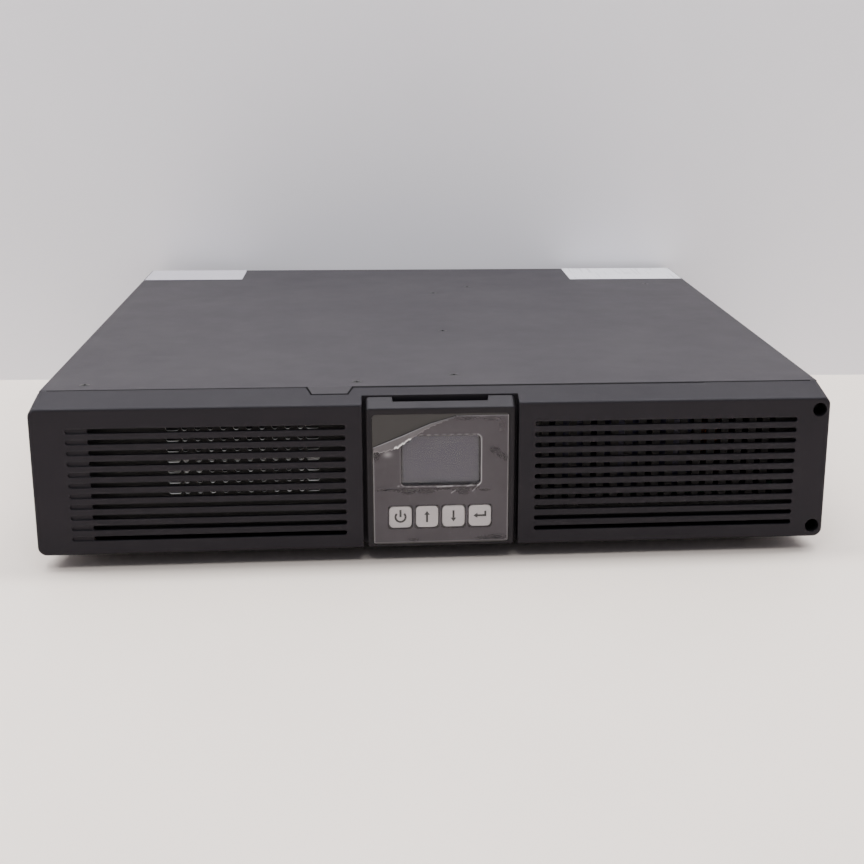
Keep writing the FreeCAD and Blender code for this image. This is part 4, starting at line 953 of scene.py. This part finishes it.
# middle x, middle z, reach
foldGlintSpots = [
    (-0.0185, 0.0385, 0.0011), (-0.0140, 0.0388, 0.0008), (-0.0075, 0.0640, 0.0010), (0.0028, 0.0640, 0.0008),
    (-0.0210, 0.0450, 0.0008), (-0.0240, 0.0360, 0.0006), (-0.0298, 0.0544, 0.0022),
]
# start x, start z, length, slope
brightCreases = [
    (0.0050, 0.0315, 0.0040, 0.65), (0.0165, 0.0320, 0.0050, 1.05),
    (0.0130, 0.0350, 0.0060, 0.35), (-0.0030, 0.0352, 0.0090, 0.05),
]


def specks(x, z):
    # painted highlights: small bright spots where folds beside the window's left and upper sides catch the
    # light
    total = 0.0
    for middleX, middleZ, reach in foldGlintSpots:
        total += 0.22 * math.exp(-(((x - middleX) / reach) ** 2 + ((z - middleZ) / (reach * 0.7)) ** 2))
    return total


def creaseGlints(x, z):
    # painted highlights along slanting creases under the window's right half
    total = 0.0
    for startX, startZ, length, slope in brightCreases:
        along = x - startX
        if 0 <= along <= length:
            total += 0.30 * math.exp(-(((z - startZ - along * slope) / 0.00028) ** 2))
    return total


def makeFilm():
    deselectAll()
    bpy.ops.mesh.primitive_grid_add(x_subdivisions=film["columns"], y_subdivisions=film["rows"], size=1.0)
    piece = takeNew("protectiveFilm")
    face, middle = facePlace()
    left, right = film["cut"][0][0], film["cut"][-1][0]
    highlights, darkPatches, hazes = [], [], []
    for vertex in piece.data.vertices:
        x = left + (vertex.co.x + 0.5) * (right - left)
        z = film["low"] + (vertex.co.y + 0.5) * (cutHeight(x) - film["low"])
        vertex.co = (x + middle, face - filmRise(x, z), z + raised)
        # painted highlights along the sheet's cut edges, the ridge round the window, small folds and creases
        side = max(0.0, 1.0 - min(x - left, right - x) / 0.0005) * 0.30
        base = max(0.0, 1.0 - (z - film["low"]) / 0.0006) * 0.12
        top = max(0.0, 1.0 - (cutHeight(x) - z) / 0.0006) * 0.16
        highlights.append(min(1.0, side + base + top + windowGlint(x, z) + specks(x, z) + creaseGlints(x, z)))
        darkPatches.append(darkPatchAt(x, z))
        hazes.append(hazeAt(x, z))
    paintPoints(piece, "rim", highlights)
    paintPoints(piece, "darkPatch", darkPatches)
    paintPoints(piece, "haze", hazes)
    piece.data.materials.append(filmFinish("filmSheet", film["milk"]))
    bpy.ops.object.shade_smooth()
    return piece


def makeFold():
    # the peeled edge rolled forward and laid back on the sheet
    deselectAll()
    bpy.ops.mesh.primitive_grid_add(
        x_subdivisions=film["foldColumns"], y_subdivisions=film["foldRows"], size=1.0
    )
    piece = takeNew("peeledEdge")
    face, middle = facePlace()
    start, end = film["foldLow"][0][0], film["foldLow"][-1][0]
    highlights = []
    for vertex in piece.data.vertices:
        x = start + (vertex.co.x + 0.5) * (end - start)
        across = 0.5 - vertex.co.y
        high = cutHeight(x)
        low = heightOn(film["foldLow"], x) + 0.00025 * math.sin(x * 1900) + 0.0002 * math.sin(x * 3700)
        z = high + (low - high) * across
        roll = math.sin(min(across / film["foldRoll"], 1.0) * math.pi / 2)
        curl = 0.00010 * math.sin(x * 700 + across * 5) * across
        rise = filmRise(x, z) + film["foldLift"] * roll + curl
        vertex.co = (x + middle, face - rise, z + raised)
        # painted highlights: a bright streak on the fold's lower edge and lighter lines along both its edges
        streak = math.exp(-(((across - 0.90) / 0.10) ** 2)) if -0.0262 < x < -0.0170 else 0.0
        edge = math.exp(-(((across - 0.03) / 0.06) ** 2)) * 0.3
        lowEnd = math.exp(-(((across - 0.97) / 0.06) ** 2)) * 0.18
        highlights.append(min(1.0, streak + edge + lowEnd))
    paintPoints(piece, "rim", highlights)
    paintPoints(piece, "darkPatch", [0.0] * len(highlights))
    paintPoints(piece, "haze", [film["foldHaze"]] * len(highlights))
    piece.data.materials.append(filmFinish("filmFold", film["foldMilk"]))
    bpy.ops.object.shade_smooth()
    return piece


filmSheet = makeFilm()
thicken(filmSheet, film["thick"])
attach(filmSheet, "display_module")
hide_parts("protective_film")
filmFold = makeFold()
thicken(filmFold, film["thick"])
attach(filmFold, "display_module")
print("film laid")


# flat lead of the display
ribbon = {
    "route": [
        (0.0, 0.0092), (0.0, 0.0270), (0.0240, 0.0270), (0.0240, 0.0580),
        (0.0350, 0.0580), (0.0350, 0.0370), (0.0460, 0.0370), (0.0460, 0.0640),
    ],
    "wires": 12,
    "low": 0.036,
    "high": 0.048,
    "corner": 0.0045,
    "cornerSteps": 8,
    "step": 0.0012,
    "thick": 0.0009,
    "bulge": 0.25,        # each wire's swell, as a share of the thickness
    "web": 0.6,           # thickness between the wires, as a share
    "bendFrom": 0.0110,   # behind the bezel's face
    "bendTo": 0.0580,
}


def ribbonStations():
    # points along the lead's route, its corners rounded
    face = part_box("front_bezel")[0][1]
    corners = [Vector((x, face + d, 0)) for x, d in ribbon["route"]]
    stations = [corners[0]]
    for before, corner, after in zip(corners, corners[1:], corners[2:]):
        into = (corner - before).normalized()
        away = (after - corner).normalized()
        entry = corner - into * ribbon["corner"]
        leave = corner + away * ribbon["corner"]
        for step in range(ribbon["cornerSteps"] + 1):
            t = step / ribbon["cornerSteps"]
            stations.append(entry * (1 - t) ** 2 + corner * 2 * t * (1 - t) + leave * t ** 2)
    stations.append(corners[-1])
    fine = []
    for first, second in zip(stations, stations[1:]):
        count = max(1, int((second - first).length / ribbon["step"]))
        fine += [first.lerp(second, number / count) for number in range(count)]
    return fine + [stations[-1]]


def makeRibbon():
    stations = ribbonStations()
    deselectAll()
    bpy.ops.mesh.primitive_grid_add(
        x_subdivisions=len(stations) - 1, y_subdivisions=ribbon["wires"] * 4, size=1.0
    )
    piece = takeNew("displayRibbon")
    for vertex in piece.data.vertices:
        number = round((vertex.co.x + 0.5) * (len(stations) - 1))
        place = stations[number]
        ahead = stations[min(number + 1, len(stations) - 1)] - stations[max(number - 1, 0)]
        side = Vector((ahead.y, -ahead.x, 0)).normalized()
        across = vertex.co.y + 0.5
        bulge = abs(math.sin(across * ribbon["wires"] * math.pi)) * ribbon["thick"] * ribbon["bulge"]
        z = ribbon["low"] + across * (ribbon["high"] - ribbon["low"])
        vertex.co = place + side * bulge + Vector((0, 0, z + raised))
    thicken(piece, ribbon["thick"] * ribbon["web"])
    piece.data.materials.append(coated["ribbonSheath"])
    bpy.ops.object.shade_smooth()
    return piece


displayRibbon = makeRibbon()
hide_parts("display_ribbon")
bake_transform(displayRibbon)
print("flat lead made")


# table, wall and light
stage = {
    "table": (0.89, 0.80, 0.72),
    "wall": (0.75, 0.735, 0.77),
    "wallGlow": 0.25,
    "wallPlace": 0.2156,
    "wallTurn": -0.03,
    "half": 3.0,
    "rough": 0.45,
    "specular": 0.3,
}


def tableFinish(name, colour):
    material, tree, shader = newMaterial(name)
    mottle = rangeOf(tree, noiseOf(tree, objectCoords(tree), 6.0, 4.0), 0.3, 0.7, 0.97, 1.03)
    tone = blendColour(tree, mottle, (0.0, 0.0, 0.0), colour)
    tree.links.new(tone, shader.inputs["Base Color"])
    shader.inputs["Roughness"].default_value = stage["rough"]
    shader.inputs["Specular IOR Level"].default_value = stage["specular"]
    return material


def oneSided(material):
    # seen from behind, the wall is clear
    tree = material.node_tree
    output = tree.nodes["Material Output"]
    surface = tree.nodes["Principled BSDF"].outputs[0]
    clear = tree.nodes.new("ShaderNodeBsdfTransparent")
    side = tree.nodes.new("ShaderNodeNewGeometry")
    mix = tree.nodes.new("ShaderNodeMixShader")
    tree.links.new(side.outputs["Backfacing"], mix.inputs[0])
    tree.links.new(surface, mix.inputs[1])
    tree.links.new(clear.outputs[0], mix.inputs[2])
    tree.links.new(mix.outputs[0], output.inputs["Surface"])


def makeStage():
    deselectAll()
    bpy.ops.mesh.primitive_plane_add(size=2 * stage["half"], location=(0, 0, 0))
    table = takeNew("table")
    settle(table)
    table.data.materials.append(tableFinish("tableTop", stage["table"]))
    deselectAll()
    bpy.ops.mesh.primitive_plane_add(
        size=2 * stage["half"],
        location=(0, stage["wallPlace"], stage["half"] - 0.001),
        rotation=(math.radians(90), 0, stage["wallTurn"]),
    )
    wall = takeNew("wall")
    settle(wall)
    finish = tableFinish("wallPaint", stage["wall"])
    shader = finish.node_tree.nodes["Principled BSDF"]
    shader.inputs["Emission Color"].default_value = (*stage["wall"], 1.0)
    shader.inputs["Emission Strength"].default_value = stage["wallGlow"]
    oneSided(finish)
    wall.data.materials.append(finish)


room = {"colour": (0.80, 0.81, 0.94), "strength": 0.34}
lights = {
    "overhead": {
        "place": (0.05, 0.02, 1.9), "aim": (0.05, -0.02, 0.0), "size": (4.2, 0.45), "watts": 102.0,
    },
    "front": {
        "place": (-0.2, -1.3, 2.5), "aim": (0.0, -0.1, 0.05), "size": (1.8, 0.8), "watts": 35.0,
    },
}


def addLights():
    for name, light in lights.items():
        data = bpy.data.lights.new(name, "AREA")
        data.shape = "RECTANGLE"
        data.size, data.size_y = light["size"]
        data.energy = light["watts"]
        lamp = bpy.data.objects.new(name, data)
        way = Vector(light["aim"]) - Vector(light["place"])
        turn = way.to_track_quat("-Z", "Y").to_matrix().to_4x4()
        lamp.matrix_world = Matrix.Translation(light["place"]) @ turn
        bpy.context.scene.collection.objects.link(lamp)
    world = bpy.data.worlds.new("room")
    world.use_nodes = True
    background = world.node_tree.nodes["Background"]
    background.inputs[0].default_value = (*room["colour"], 1.0)
    background.inputs[1].default_value = room["strength"]
    bpy.context.scene.world = world


makeStage()
addLights()
print("stage and lights set")
